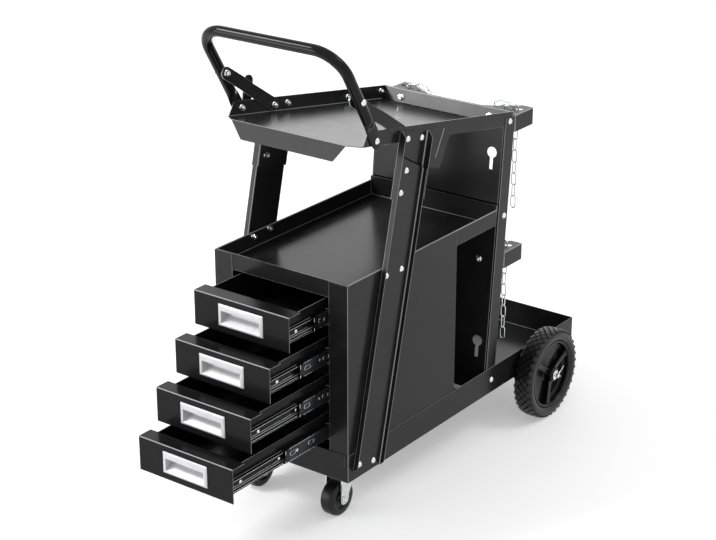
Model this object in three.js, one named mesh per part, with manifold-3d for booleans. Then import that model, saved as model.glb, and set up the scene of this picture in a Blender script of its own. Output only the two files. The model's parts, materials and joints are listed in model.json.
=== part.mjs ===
// Welding cart: a sheet-steel trolley with four drawers, a sloping top tray and a gas bottle bay.
// Millimetres, +Z up, drawers and handle towards -Y, bottle bay towards +Y, wheels on Z = 0.
import * as THREE from 'three';
import { mergeVertices } from 'three/addons/utils/BufferGeometryUtils.js';
import Module from 'manifold-3d';

const wasm = await Module();
wasm.setup();

// Driving dimensions
const SHEET = 1.5; // folded steel sheet
const GAP = 0.3; // clearance between touching pieces
const FAR = 1000; // reach of a cutting block

const BASE_HALF = 170;
const BASE_LENGTH = 873;
const BASE_BOTTOM = 110;
const BASE_HEIGHT = 60;
const BASE_NOTCH = 26; // open corner at the top of the front wall

const SIDE_OUT = BASE_HALF - SHEET - GAP; // outer face of panels that stand in the base
const SHELF_OUT = SIDE_OUT - SHEET - GAP; // outer face of pans that sit between the panels
const CABINET_TOP = 535;
const CABINET_DEPTH = 379;
const CABINET_FRONT = SHEET + GAP;
const OPENING_HALF = 122;
const PANEL_LIP = 25;
const FOOT_Z = BASE_BOTTOM + SHEET + GAP;

const SHELF_BOTTOM = 501;
const SHELF_REAR = 533;
const SHELF_REAR_RISE = 10; // the rear wall stands above the sides

const DRAWER_TOPS = [499, 415, 333, 249.5];
const DRAWER_OPEN = [118, 178, 237, 292]; // how far each drawer stands out
const RUNNER_FRONTS = [-41, -86, -89, -135]; // front ends of the middle slide members
const DRAWER_WIDTH = 238;
const DRAWER_HEIGHT = 73;
const DRAWER_DEPTH = 345;
const DRAWER_LIP = 34;
const BOX_HALF = 107.5;
const BOX_DROP = 5; // box walls stand this far below the drawer top
const BOX_LOW = 62; // box floor, below the drawer top
const PULL_WIDTH = 112;
const PULL_HEIGHT = 46;
const PULL_DROP = 36; // pull centre below the drawer top
const PULL_RAISE = 3.5;
const PULL_DEPTH = 17;

const SLIDE_DROP = 40; // slide centre below the drawer top
const SLIDE_LENGTH = 350;
const RUNNER_LENGTH = 300;
const SLIDE_FRONT = 5;
const SLIDE_REACH = 11; // depth of the outer member's channel
const SLIDE_SHEET = 1.2; // sheet of the two moving members
const OUTER_HALF = 17.5;
const RUNNER_HALF = 14.6;
const INNER_HALF = 11.6;

const REAR_LEAN = THREE.MathUtils.degToRad(5.05);
const POST_FOOT_Y = 502;
const POST_FOOT_Z = 115;
const POST_DEPTH = 35;
const POST_LEG = 13;
const POST_HEIGHT = 622;
const POST_CUT = 603; // the legs stop here, under the top tray
const PANEL_SPLIT = 386; // bottom of the upper panel, along the posts
const PANEL_TOP = 602;
const LOWER_PANEL_TOP = 384;
const PANEL_HALF = 164;
const KEYHOLE_R = 12;
const KEYHOLE_SLOT = 8;
const KEYHOLE_LENGTH = 37;
const KEYHOLE_X = 140;
const UPPER_KEYHOLE = 543;
const LOWER_KEYHOLE = 118;

const HORN_REACH = 71.5; // front to rear
const HORN_FLANGE = 37;
const HORN_ARC_Y = 202; // measured from the bracket's front, as is the hole
const HORN_ARC_R = 193;
const HORN_HOLE_X = 151;
const HORN_HOLE_Y = 44.7;
const HORN_HOLE_R = 8;
const HORN_SLOT_X = 142; // where the chain sits in its slot
const HORN_SLOT_HALF = 2.3;
const HORN_SLOT_LENGTH = 18;
const UPPER_HORN = { front: 592.2, top: 732 };
const LOWER_HORN = { front: 565.2, top: 428.5 };

const TRAY_SLOPE = THREE.MathUtils.degToRad(9.6);
const TRAY_FRONT_Y = 33;
const TRAY_FRONT_Z = 806;
const TRAY_LENGTH = 556;
const TRAY_WALL = 29;
const TRAY_CORNER_X = 25;
const TRAY_CORNER_Y = 20;
const TRAY_RAMP = 14; // slanted front end of each side wall
const TRAY_FLANGE = 36;
const TRAY_FLANGE_CUT = 28; // slanted ends of the front flange
const GUSSET_FRONT = 232;
const GUSSET_REAR = 293; // rear edge of the gusset plate at its top
const GUSSET_LEAN = 23.5; // the edge leans this far forward at its foot
const GUSSET_TOP = 16;
const GUSSET_DROP = 50;

const STRUT_LEAN = THREE.MathUtils.degToRad(13.4);
const STRUT_FOOT_Y = 62;
const STRUT_FOOT_Z = 132;
const STRUT_HALF = 48;
const STRUT_FLANGE_X = 182.5;
const STRUT_TOP = 680;
const STRUT_CHAMFER = 12;
const UPPER_STRUT_FOOT = 545;
const LOWER_STRUT_FOOT = -11;
const LOWER_STRUT_CHAMFER = 9;
const LOWER_STRUT_TOP = 632;
const LOWER_STRUT_SLANT = THREE.MathUtils.degToRad(16);

const HANDLE_LEAN = THREE.MathUtils.degToRad(31);
const HANDLE_FOOT_Y = 93; // bolt through the flattened end
const HANDLE_FOOT_Z = 805;
const HANDLE_LENGTH = 227;
const HANDLE_BEND = 58;
const HANDLE_R = 11;
const HANDLE_TAIL = 16; // flattened end beyond its bolt
const FLAT_END = 32; // the tube starts to round out
const ROUND_START = 58; // the tube is round from here
const FLAT_HALF = 1.8;
const FLAT_WIDE = 16;
const HANDLE_X = SHELF_OUT + GAP + FLAT_HALF;
const BRACE_HALF = 13;
const BRACE_THICK = 2.5;
const BRACE_UP = 106; // upper brace bolt, along the leg
const BRACE_FOOT_Y = 193;
const BRACE_FOOT_Z = 15; // above the tray floor

const HOOK_Y = 105; // along the tray
const HOOK_HALF = 9;
const HOOK_RISE = 74;
const HOOK_REACH = 26;
const HOOK_THICK = 3;

const AXLE_Y = 698;
const AXLE_R = 5;
const AXLE_PLAY = 0.4; // clearance of bores on their axles
const AXLE_HALF = 240;
const PIN_X = AXLE_HALF - 5;
const WHEEL_R = 104;
const WHEEL_X = 205;
const TYRE_HALF = 23;
const TYRE_INNER = 79;
const TYRE_STEPS = 40;
const TREAD_ROWS = 6;
const TREAD_CROWN = 2.5;
const KNOB = 4;
const RIM_R = TYRE_INNER - GAP;
const RIM_WALL = 4;
const WEB_HALF = 4;
const HUB_R = 17;
const HUB_HALF = 25;
const SPOKES = 3;
const SPOKE_HALF = 9;
const SPOKE_DEPTH = 15;
const SPOKE_ANGLE = THREE.MathUtils.degToRad(24);

const CASTER_X = 104;
const CASTER_Y = 72;
const CASTER_TRAIL = 24;
const CASTER_R = 39;
const CASTER_HALF = 15.5;
const FORK_SHEET = 2.5;

const LINK_WIRE = 1.5; // wire radius
const LINK_END = 14; // link centre to the wire's centre at its end
const LINK_HALF_WIDTH = 5.5; // link centre to the wire's centre at its side
const LINK_STEPS = 3; // facets of each rounded end
const LINK_SIDES = 5; // facets round the wire
const LINK_BITE = 1; // how far bearing links press into each other
const LINK_STEP = 2 * (LINK_END - LINK_WIRE) + LINK_BITE;
const TAIL_LINKS = 8;
const ANCHOR_DROP = 5; // middle of the link in each slot, below the horn's top
const DRAPE_LINKS = 13;
const DRAPE_END_X = HORN_SLOT_X - 4; // the end links lie in the links that go through the slots
const DRAPE_EDGE = 95; // the drape leaves the plate here
const DRAPE_REST = 10.5; // height of the drape over the plate there
const DRAPE_TOP = 5; // height at the slots

// Paint and plating
const paint = finish('#1b1b1d', 0.38, 0.3);
const satin = finish('#d8d9db', 0.35, 0.6);
const zinc = finish('#c9ccd1', 0.3, 0.9);
const slideSteel = finish('#2a2a2d', 0.4, 0.7);
const rubber = finish('#161616', 0.85, 0);
const polymer = finish('#101010', 0.5, 0);

function finish(colour, roughness, metalness) {
  return new THREE.MeshStandardMaterial({ color: colour, roughness, metalness });
}

const cart = new THREE.Group();

function place(name, geometry, material, parent = cart) {
  const mesh = new THREE.Mesh(geometry, material);
  mesh.name = name;
  parent.add(mesh);
  return mesh;
}

// Booleans
function toSolid(geometry) {
  const bare = geometry.clone();
  bare.deleteAttribute('normal');
  bare.deleteAttribute('uv');
  const merged = mergeVertices(bare, 1e-4);
  const vertProperties = new Float32Array(merged.attributes.position.array);
  const triVerts = new Uint32Array(merged.index.array);
  return new wasm.Manifold(new wasm.Mesh({ numProp: 3, vertProperties, triVerts }));
}

function toGeometry(solid) {
  const mesh = solid.getMesh();
  const geometry = new THREE.BufferGeometry();
  geometry.setAttribute('position', new THREE.BufferAttribute(new Float32Array(mesh.vertProperties), 3));
  geometry.setIndex(new THREE.BufferAttribute(new Uint32Array(mesh.triVerts), 1));
  return geometry;
}

function join(...geometries) {
  return toGeometry(geometries.map(toSolid).reduce((whole, part) => whole.add(part)));
}

function cut(geometry, ...tools) {
  return toGeometry(tools.map(toSolid).reduce((rest, tool) => rest.subtract(tool), toSolid(geometry)));
}

// Basic forms
function block(x0, x1, y0, y1, z0, z1) {
  const form = new THREE.BoxGeometry(x1 - x0, y1 - y0, z1 - z0);
  return form.translate((x0 + x1) / 2, (y0 + y1) / 2, (z0 + z1) / 2);
}

function outline(points) {
  return new THREE.Shape(points.map(([u, v]) => new THREE.Vector2(u, v)));
}

function extrude(shape, depth, steps = 8) {
  return new THREE.ExtrudeGeometry(shape, { depth, bevelEnabled: false, curveSegments: steps });
}

// Extrude an outline drawn in X and Y upwards
function risen(shape, z0, z1, steps) {
  return extrude(shape, z1 - z0, steps).translate(0, 0, z0);
}

// Extrude an outline drawn in Y and Z along X
function across(shape, x0, x1, steps) {
  const turn = new THREE.Matrix4().makeBasis(
    new THREE.Vector3(0, 1, 0), new THREE.Vector3(0, 0, 1), new THREE.Vector3(1, 0, 0));
  return extrude(shape, x1 - x0, steps).applyMatrix4(turn).translate(x0, 0, 0);
}

// Extrude an outline drawn in X and Z along Y
function along(shape, y0, y1, steps) {
  const turn = new THREE.Matrix4().makeBasis(
    new THREE.Vector3(1, 0, 0), new THREE.Vector3(0, 0, 1), new THREE.Vector3(0, -1, 0));
  return extrude(shape, y1 - y0, steps).applyMatrix4(turn).translate(0, y1, 0);
}

function roundBar(radius, x0, x1, y, z, sides = 16) {
  const bar = new THREE.CylinderGeometry(radius, radius, x1 - x0, sides);
  return bar.rotateZ(Math.PI / 2).translate((x0 + x1) / 2, y, z);
}

function upright(radius, x, y, z0, z1, sides = 16) {
  const post = new THREE.CylinderGeometry(radius, radius, z1 - z0, sides);
  return post.rotateX(Math.PI / 2).translate(x, y, (z0 + z1) / 2);
}

function mirrored(geometry) {
  const twin = geometry.clone().applyMatrix4(new THREE.Matrix4().makeScale(-1, 1, 1));
  const flat = twin.index ? twin.toNonIndexed() : twin;
  return flipped(flat);
}

function flipped(geometry) {
  const spots = geometry.attributes.position;
  const turned = new Float32Array(spots.array);
  for (let corner = 0; corner < turned.length; corner += 9) {
    turned.copyWithin(corner + 3, corner + 6, corner + 9);
    turned.set(spots.array.slice(corner + 3, corner + 6), corner + 6);
  }
  const form = new THREE.BufferGeometry();
  form.setAttribute('position', new THREE.BufferAttribute(turned, 3));
  return form;
}

function pair(name, geometry, material, parent = cart) {
  place(`right_${name}`, geometry, material, parent);
  place(`left_${name}`, mirrored(geometry), material, parent);
}

// Sweep a section, which may change from step to step, along a flat path
function sweep(path, normal, section, closed) {
  const count = path.length;
  const rings = path.map((spot, step) => {
    const before = path[closed ? (step + count - 1) % count : Math.max(step - 1, 0)];
    const after = path[closed ? (step + 1) % count : Math.min(step + 1, count - 1)];
    const tangent = after.clone().sub(before).normalize();
    const side = new THREE.Vector3().crossVectors(tangent, normal);
    return section(step).map(([out, up]) => (
      spot.clone().addScaledVector(side, out).addScaledVector(normal, up)));
  });
  return skin(rings, closed);
}

function skin(rings, closed) {
  const sides = rings[0].length;
  const spots = rings.flat().flatMap((spot) => [spot.x, spot.y, spot.z]);
  const faces = [];
  const last = closed ? rings.length : rings.length - 1;
  for (let ring = 0; ring < last; ring += 1) {
    const next = (ring + 1) % rings.length;
    for (let side = 0; side < sides; side += 1) {
      const beside = (side + 1) % sides;
      const [a, b] = [ring * sides + side, ring * sides + beside];
      const [c, d] = [next * sides + side, next * sides + beside];
      faces.push(a, c, b, b, c, d);
    }
  }
  if (!closed) {
    const start = (rings.length - 1) * sides;
    for (let side = 1; side < sides - 1; side += 1) {
      faces.push(0, side, side + 1);
      faces.push(start, start + side + 1, start + side);
    }
  }
  const form = new THREE.BufferGeometry();
  form.setAttribute('position', new THREE.Float32BufferAttribute(spots, 3));
  form.setIndex(faces);
  return volume(form) > 0 ? form : flipped(form.toNonIndexed());
}

function volume(form) {
  const spots = form.toNonIndexed().attributes.position;
  const [a, b, c] = [new THREE.Vector3(), new THREE.Vector3(), new THREE.Vector3()];
  let total = 0;
  for (let corner = 0; corner < spots.count; corner += 3) {
    a.fromBufferAttribute(spots, corner);
    b.fromBufferAttribute(spots, corner + 1);
    c.fromBufferAttribute(spots, corner + 2);
    total += a.dot(b.cross(c)) / 6;
  }
  return total;
}

function roundSection(radius, sides) {
  return Array.from({ length: sides }, (_, side) => {
    const angle = (side / sides) * 2 * Math.PI;
    return [radius * Math.cos(angle), radius * Math.sin(angle)];
  });
}

// Open-topped pan with a floor and four walls
function pan(half, y0, y1, z0, z1) {
  const inside = block(-half + SHEET, half - SHEET, y0 + SHEET, y1 - SHEET, z0 + SHEET, z1 + FAR);
  return cut(block(-half, half, y0, y1, z0, z1), inside);
}

// Channel with its web at low X and its two legs pointing to high X, seen from above
function channel(x0, x1, half, sheet) {
  return outline([
    [x0, -half], [x1, -half], [x1, -half + sheet], [x0 + sheet, -half + sheet],
    [x0 + sheet, half - sheet], [x1, half - sheet], [x1, half], [x0, half],
  ]);
}

// Base pan: floor of the cabinet and, behind the posts, the tray that the bottle stands in
function basePan() {
  const top = BASE_BOTTOM + BASE_HEIGHT;
  const body = pan(BASE_HALF, 0, BASE_LENGTH, BASE_BOTTOM, top);
  const corner = block(BASE_HALF - 9, BASE_HALF - SHEET, -1, SHEET + 1, top - BASE_NOTCH, top + 1);
  return cut(body, corner, mirrored(corner));
}

// Cabinet side: wall, front and rear returns, and lips that carry the outer slide members
function sidePanel() {
  const [front, rear] = [CABINET_FRONT, CABINET_DEPTH];
  const plan = outline([
    [SIDE_OUT, front], [SIDE_OUT, rear], [OPENING_HALF, rear], [OPENING_HALF, rear - PANEL_LIP],
    [OPENING_HALF + SHEET, rear - PANEL_LIP], [OPENING_HALF + SHEET, rear - SHEET],
    [SIDE_OUT - SHEET, rear - SHEET], [SIDE_OUT - SHEET, front + SHEET],
    [OPENING_HALF + SHEET, front + SHEET], [OPENING_HALF + SHEET, front + PANEL_LIP],
    [OPENING_HALF, front + PANEL_LIP], [OPENING_HALF, front],
  ]);
  const walls = risen(plan, FOOT_Z, CABINET_TOP);
  const shelfRoom = block(
    OPENING_HALF - 1, SIDE_OUT - SHEET, front + SHEET, rear + 1, SHELF_BOTTOM - GAP, CABINET_TOP + 1);
  const slides = DRAWER_TOPS.map((top) => outerSlide(top - SLIDE_DROP));
  return join(cut(walls, shelfRoom), ...slides);
}

function outerSlide(centre) {
  const face = OPENING_HALF;
  const tip = face - SLIDE_REACH;
  const section = outline([
    [face, -OUTER_HALF], [face, OUTER_HALF], [tip, OUTER_HALF], [tip, OUTER_HALF - SHEET],
    [face - SHEET, OUTER_HALF - SHEET], [face - SHEET, -OUTER_HALF + SHEET],
    [tip, -OUTER_HALF + SHEET], [tip, -OUTER_HALF],
  ]);
  return along(section, SLIDE_FRONT, SLIDE_FRONT + SLIDE_LENGTH).translate(0, 0, centre);
}

// Middle slide member: rides inside the outer one on ball rows
function runner(front, centre) {
  const root = OPENING_HALF - SHEET - 3 * GAP;
  const tip = OPENING_HALF - SLIDE_REACH - 1;
  const sheet = SLIDE_SHEET;
  const section = outline([
    [root, -RUNNER_HALF], [root, RUNNER_HALF], [tip, RUNNER_HALF], [tip, RUNNER_HALF - sheet],
    [root - sheet, RUNNER_HALF - sheet], [root - sheet, -RUNNER_HALF + sheet],
    [tip, -RUNNER_HALF + sheet], [tip, -RUNNER_HALF],
  ]);
  return along(section, front, front + RUNNER_LENGTH).translate(0, 0, centre);
}

// Inner slide member, fixed to the drawer wall
function innerSlide(front, centre) {
  const [root, face, tip] = [BOX_HALF - 0.2, BOX_HALF + 1.4, BOX_HALF + 8];
  const sheet = SLIDE_SHEET;
  const section = outline([
    [root, -INNER_HALF], [tip, -INNER_HALF], [tip, -INNER_HALF + sheet], [face, -INNER_HALF + sheet],
    [face, INNER_HALF - sheet], [tip, INNER_HALF - sheet], [tip, INNER_HALF], [root, INNER_HALF],
  ]);
  return along(section, front, front + SLIDE_LENGTH - 12).translate(0, 0, centre);
}

// Drawer: open box, front plate with a rearward lip and a window for the pull
function drawer(top, open) {
  const half = DRAWER_WIDTH / 2;
  const front = -open;
  const back = front + DRAWER_DEPTH;
  const box = cut(
    block(-BOX_HALF, BOX_HALF, front + 0.5, back, top - BOX_LOW, top - BOX_DROP),
    block(-BOX_HALF + SHEET, BOX_HALF - SHEET, front + SHEET, back - SHEET, top - BOX_LOW + SHEET, top));
  const face = across(outline([
    [front, top - DRAWER_HEIGHT], [front + SHEET, top - DRAWER_HEIGHT], [front + SHEET, top - SHEET],
    [front + DRAWER_LIP, top - SHEET], [front + DRAWER_LIP, top], [front, top],
  ]), -half, half);
  const centre = top - PULL_DROP;
  const window = block(
    -PULL_WIDTH / 2 + 5, PULL_WIDTH / 2 - 5, front - 1, front + SHEET + 1,
    centre - PULL_HEIGHT / 2 + 4, centre + PULL_HEIGHT / 2 - 4);
  const slide = innerSlide(front + 4, top - SLIDE_DROP);
  return cut(join(box, face, slide, mirrored(slide)), window);
}

// Recessed pull: bevelled bezel in front of the drawer and a finger cup through its window
function drawerPull(top, open) {
  const front = -open;
  const centre = top - PULL_DROP;
  const [halfW, halfH] = [PULL_WIDTH / 2, PULL_HEIGHT / 2];
  const ring = (w, h, y) => [[-w, -h], [w, -h], [w, h], [-w, h]].map(([x, z]) => (
    new THREE.Vector3(x, y, centre + z)));
  const bezel = skin([
    ring(halfW, halfH, front - GAP), ring(halfW, halfH, front - GAP - 1),
    ring(halfW - 2.5, halfH - 2.5, front - GAP - PULL_RAISE),
  ], false);
  const cup = block(
    -halfW + 5.4, halfW - 5.4, front - 1, front + PULL_DEPTH, centre - halfH + 4.4, centre + halfH - 4.4);
  const pocket = across(outline([
    [front - PULL_RAISE - 1, centre - halfH + 5], [front - PULL_RAISE - 1, centre + halfH - 14],
    [front - PULL_RAISE + 2, centre + halfH - 13], [front + 2, centre + halfH - 7],
    [front + PULL_DEPTH - 2, centre + halfH - 7], [front + PULL_DEPTH - 2, centre - 4],
  ]), -halfW + 8, halfW - 8);
  return cut(join(bezel, cup), pocket);
}

function cabinetBack() {
  const half = OPENING_HALF - GAP;
  return block(-half, half, CABINET_DEPTH - SHEET, CABINET_DEPTH, FOOT_Z, SHELF_BOTTOM - GAP);
}

// Middle shelf: pan on top of the cabinet, reaching back to the posts
function middleShelf() {
  const rim = CABINET_TOP + 1;
  const rear = block(
    -SHELF_OUT, SHELF_OUT, SHELF_REAR - SHEET, SHELF_REAR, SHELF_BOTTOM, rim + SHELF_REAR_RISE);
  return join(pan(SHELF_OUT, CABINET_FRONT + SHEET + GAP, SHELF_REAR, SHELF_BOTTOM, rim), rear);
}

// Rear posts and panels lean back together
const rearFrame = new THREE.Group();
rearFrame.position.set(0, POST_FOOT_Y, POST_FOOT_Z);
rearFrame.rotation.x = -REAR_LEAN;
cart.add(rearFrame);

function rearPost() {
  const inner = SIDE_OUT - POST_LEG;
  const plan = outline([
    [SIDE_OUT, 0], [SIDE_OUT, POST_DEPTH], [inner, POST_DEPTH], [inner, POST_DEPTH - SHEET],
    [SIDE_OUT - SHEET, POST_DEPTH - SHEET], [SIDE_OUT - SHEET, SHEET], [inner, SHEET], [inner, 0],
  ]);
  const trayRoom = block(inner - 1, SIDE_OUT - SHEET, -1, POST_DEPTH - SHEET, POST_CUT, FAR);
  const backRoom = block(inner - 1, SIDE_OUT - SHEET, 0, POST_DEPTH + 1, POST_CUT - 4, FAR);
  return cut(risen(plan, 0, POST_HEIGHT), trayRoom, backRoom);
}

function keyhole(x, z) {
  const hole = new THREE.Path();
  const wide = Math.asin(KEYHOLE_SLOT / 2 / KEYHOLE_R);
  hole.absarc(x, z, KEYHOLE_R, -Math.PI / 2 + wide, 1.5 * Math.PI - wide);
  hole.lineTo(x - KEYHOLE_SLOT / 2, z - KEYHOLE_LENGTH);
  hole.lineTo(x + KEYHOLE_SLOT / 2, z - KEYHOLE_LENGTH);
  return hole;
}

function rearPanel(z0, z1, keyholeZ) {
  const sheet = outline([[-PANEL_HALF, z0], [PANEL_HALF, z0], [PANEL_HALF, z1], [-PANEL_HALF, z1]]);
  sheet.holes.push(keyhole(KEYHOLE_X, keyholeZ), keyhole(-KEYHOLE_X, keyholeZ));
  return along(sheet, -GAP - SHEET, -GAP, 6);
}

// Bottle bracket: level plate with a hollow rear edge, horns at its ends and folded flanges
function tankBracket({ front, top }) {
  const body = cut(
    block(-SIDE_OUT, SIDE_OUT, front, front + HORN_REACH, top - HORN_FLANGE, top),
    block(-SIDE_OUT + SHEET, SIDE_OUT - SHEET, front + SHEET, FAR, -FAR, top - SHEET));
  const hollow = upright(HORN_ARC_R, 0, front + HORN_ARC_Y, top - 5, top + 5, 48);
  const middle = front + HORN_HOLE_Y;
  const eye = upright(HORN_HOLE_R, HORN_HOLE_X, middle, top - 5, top + 5, 12);
  const inner = HORN_HOLE_X - HORN_SLOT_LENGTH;
  const slot = block(
    inner, HORN_HOLE_X, middle - HORN_SLOT_HALF, middle + HORN_SLOT_HALF, top - 5, top + 5);
  return cut(body, hollow, eye, slot, mirrored(eye), mirrored(slot));
}

// Top tray slopes down to the rear
const trayFrame = new THREE.Group();
trayFrame.position.set(0, TRAY_FRONT_Y, TRAY_FRONT_Z);
trayFrame.rotation.x = -TRAY_SLOPE;
cart.add(trayFrame);

function topTray() {
  const half = SHELF_OUT;
  const floor = risen(outline([
    [-half + TRAY_CORNER_X, 0], [half - TRAY_CORNER_X, 0], [half, TRAY_CORNER_Y], [half, TRAY_LENGTH],
    [-half, TRAY_LENGTH], [-half, TRAY_CORNER_Y],
  ]), -SHEET, 0);
  const foot = GUSSET_REAR - GUSSET_LEAN;
  const wall = across(outline([
    [TRAY_CORNER_Y, -SHEET], [GUSSET_FRONT, -SHEET], [GUSSET_FRONT, -GUSSET_DROP], [foot, -GUSSET_DROP],
    [GUSSET_REAR, -SHEET], [TRAY_LENGTH, -SHEET], [TRAY_LENGTH, TRAY_WALL],
    [TRAY_CORNER_Y + TRAY_RAMP, TRAY_WALL],
  ]), half - SHEET, half);
  const gusset = across(outline([
    [GUSSET_FRONT + 4, GUSSET_TOP], [GUSSET_FRONT, -GUSSET_DROP], [foot, -GUSSET_DROP],
    [GUSSET_REAR, GUSSET_TOP],
  ]), half - SHEET, half + SHEET);
  const rear = block(-half, half, TRAY_LENGTH - SHEET, TRAY_LENGTH, -SHEET, TRAY_WALL);
  const flange = along(outline([
    [-half + TRAY_CORNER_X, 0], [half - TRAY_CORNER_X, 0],
    [half - TRAY_CORNER_X - TRAY_FLANGE_CUT, -TRAY_FLANGE],
    [-half + TRAY_CORNER_X + TRAY_FLANGE_CUT, -TRAY_FLANGE],
  ]), 0, SHEET);
  return join(floor, wall, mirrored(wall), gusset, mirrored(gusset), rear, flange);
}

// Struts lean back from the base to the tray
const strutFrame = new THREE.Group();
strutFrame.position.set(0, STRUT_FOOT_Y, STRUT_FOOT_Z);
strutFrame.rotation.x = -STRUT_LEAN;
cart.add(strutFrame);

// Cutters that slant the ends of a strut's two flanges; way is 1 at the top and -1 at the foot
function flangeChamfers(half, tip, end, size, way) {
  const wedge = along(outline([
    [tip - size, end + way], [tip + 2, end + way], [tip + 2, end - way * (size + 1)],
  ]), half - 8, half + 8);
  return [wedge, wedge.clone().translate(0, -2 * half, 0)];
}

function upperStrut() {
  const web = SHELF_OUT + GAP;
  const bar = risen(channel(web, STRUT_FLANGE_X, STRUT_HALF, SHEET), UPPER_STRUT_FOOT, STRUT_TOP);
  return cut(bar, ...flangeChamfers(STRUT_HALF, STRUT_FLANGE_X, STRUT_TOP, STRUT_CHAMFER, 1));
}

function lowerStrut() {
  const half = STRUT_HALF - SHEET - GAP;
  const tip = STRUT_FLANGE_X - 1;
  const bar = risen(channel(BASE_HALF + GAP, tip, half, SHEET), LOWER_STRUT_FOOT, LOWER_STRUT_TOP);
  const slant = block(0, FAR, -FAR, FAR, 0, FAR).rotateX(-LOWER_STRUT_SLANT);
  slant.translate(0, 0, LOWER_STRUT_TOP - half * Math.tan(LOWER_STRUT_SLANT));
  return cut(bar, slant, ...flangeChamfers(half, tip, LOWER_STRUT_FOOT, LOWER_STRUT_CHAMFER, -1));
}

// Handle: bent tube whose ends are pressed flat and bolted outside the tray walls
const handleFrame = new THREE.Group();
handleFrame.position.set(0, HANDLE_FOOT_Y, HANDLE_FOOT_Z);
handleFrame.rotation.x = HANDLE_LEAN;
cart.add(handleFrame);

// Half of the handle's centre line: flattened end, leg, bend
function handleStations() {
  const end = [-1, -0.8, -0.4, 0.2].map((share) => share * HANDLE_TAIL);
  const swell = [0, 0.3, 0.6, 1].map((share) => THREE.MathUtils.lerp(FLAT_END, ROUND_START, share));
  const reach = HANDLE_X - HANDLE_BEND;
  const leg = [...end, ...swell].map((z) => new THREE.Vector3(-HANDLE_X, 0, z));
  const bend = [0, 1, 2, 3, 4, 5, 6].map((step) => {
    const angle = step * Math.PI / 12;
    const rise = HANDLE_BEND * (1 - Math.sin(angle));
    return new THREE.Vector3(-reach - HANDLE_BEND * Math.cos(angle), 0, HANDLE_LENGTH - rise);
  });
  const half = [...leg, ...bend];
  const twin = half.map((spot) => new THREE.Vector3(-spot.x, 0, spot.z)).reverse();
  return [...half, ...twin];
}

// Section of the handle: round tube that turns into a flat strap with a rounded end
function handleSection(z) {
  const round = THREE.MathUtils.smoothstep(z, FLAT_END, ROUND_START);
  const reach = Math.min(0, z) / HANDLE_TAIL;
  const strap = FLAT_WIDE * Math.sqrt(1 - 0.9 * reach * reach);
  const thick = THREE.MathUtils.lerp(FLAT_HALF, HANDLE_R, round);
  const wide = THREE.MathUtils.lerp(strap, HANDLE_R, round);
  return roundSection(1, 12).map(([out, up]) => [out * thick, up * wide]);
}

function handleBar() {
  const stations = handleStations();
  const normal = new THREE.Vector3(0, 1, 0);
  return sweep(stations, normal, (step) => handleSection(stations[step].z), false);
}

// Brace: flat bar with a jog, from inside the handle leg to inside the tray wall
function handleBrace() {
  const up = new THREE.Vector2(
    HANDLE_FOOT_Y - BRACE_UP * Math.sin(HANDLE_LEAN), HANDLE_FOOT_Z + BRACE_UP * Math.cos(HANDLE_LEAN));
  const drop = (BRACE_FOOT_Y - TRAY_FRONT_Y) * Math.tan(TRAY_SLOPE);
  const foot = new THREE.Vector2(BRACE_FOOT_Y, TRAY_FRONT_Z + BRACE_FOOT_Z - drop);
  const run = foot.clone().sub(up);
  const wide = new THREE.Vector2(-run.y, run.x).normalize();
  const [high, low] = [HANDLE_X - HANDLE_R - GAP, SHELF_OUT - SHEET - GAP];
  const ring = (share, half, x) => {
    const spot = up.clone().addScaledVector(run, share);
    const corners = [[half, x], [half, x - BRACE_THICK], [-half, x - BRACE_THICK], [-half, x]];
    return corners.map(([out, face]) => (
      new THREE.Vector3(face, spot.x + wide.x * out, spot.y + wide.y * out)));
  };
  const blunt = BRACE_HALF / run.length();
  return skin([
    ring(-blunt, BRACE_HALF * 0.4, high), ring(-blunt * 0.6, BRACE_HALF * 0.85, high),
    ring(0, BRACE_HALF, high), ring(0.3, BRACE_HALF, high), ring(0.55, BRACE_HALF, low),
    ring(1, BRACE_HALF, low), ring(1 + blunt * 0.6, BRACE_HALF * 0.85, low),
    ring(1 + blunt, BRACE_HALF * 0.4, low),
  ], false);
}

// Cable hook: strip on the left wall, turned out and up
function cableHook() {
  const wall = -SHELF_OUT - GAP;
  const tip = wall - HOOK_REACH;
  const [front, rear] = [HOOK_Y - HOOK_HALF, HOOK_Y + HOOK_HALF];
  const foot = along(outline([
    [wall, -18], [wall, 22], [wall - HOOK_THICK, 22], [wall - HOOK_THICK, HOOK_THICK], [tip, HOOK_THICK],
    [tip, 0], [wall - HOOK_THICK, 0], [wall - HOOK_THICK, -18]]), front, rear);
  const blade = new THREE.Shape();
  blade.moveTo(front, 0);
  blade.lineTo(rear, 0);
  blade.absarc(HOOK_Y, HOOK_RISE - HOOK_HALF, HOOK_HALF, 0, Math.PI);
  return join(foot, across(blade, tip, tip + HOOK_THICK));
}

// Rear wheels
function wheelPath(steps, radius, x) {
  return Array.from({ length: steps }, (_, step) => {
    const angle = (step / steps) * 2 * Math.PI;
    return new THREE.Vector3(x, radius * Math.cos(angle), radius * Math.sin(angle));
  });
}

// Tyre: knobs stand in staggered rows, so neighbouring steps swap crest and groove
function tyre() {
  const middle = (WHEEL_R + TYRE_INNER) / 2;
  const rise = WHEEL_R - middle;
  const half = TYRE_HALF;
  const section = (step) => {
    const tread = Array.from({ length: TREAD_ROWS + 1 }, (_, row) => {
      const share = -1 + (2 * row) / TREAD_ROWS;
      const crest = (row + step) % 2 === 0 ? 0 : KNOB;
      return [rise - crest - TREAD_CROWN * share ** 4, share * (half - 2)];
    });
    return [
      ...tread, [0, half], [-rise + 3, half - 2], [-rise, half - 4],
      [-rise, -half + 4], [-rise + 3, -half + 2], [0, -half],
    ];
  };
  return sweep(wheelPath(TYRE_STEPS, middle, 0), new THREE.Vector3(1, 0, 0), section, true);
}

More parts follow.
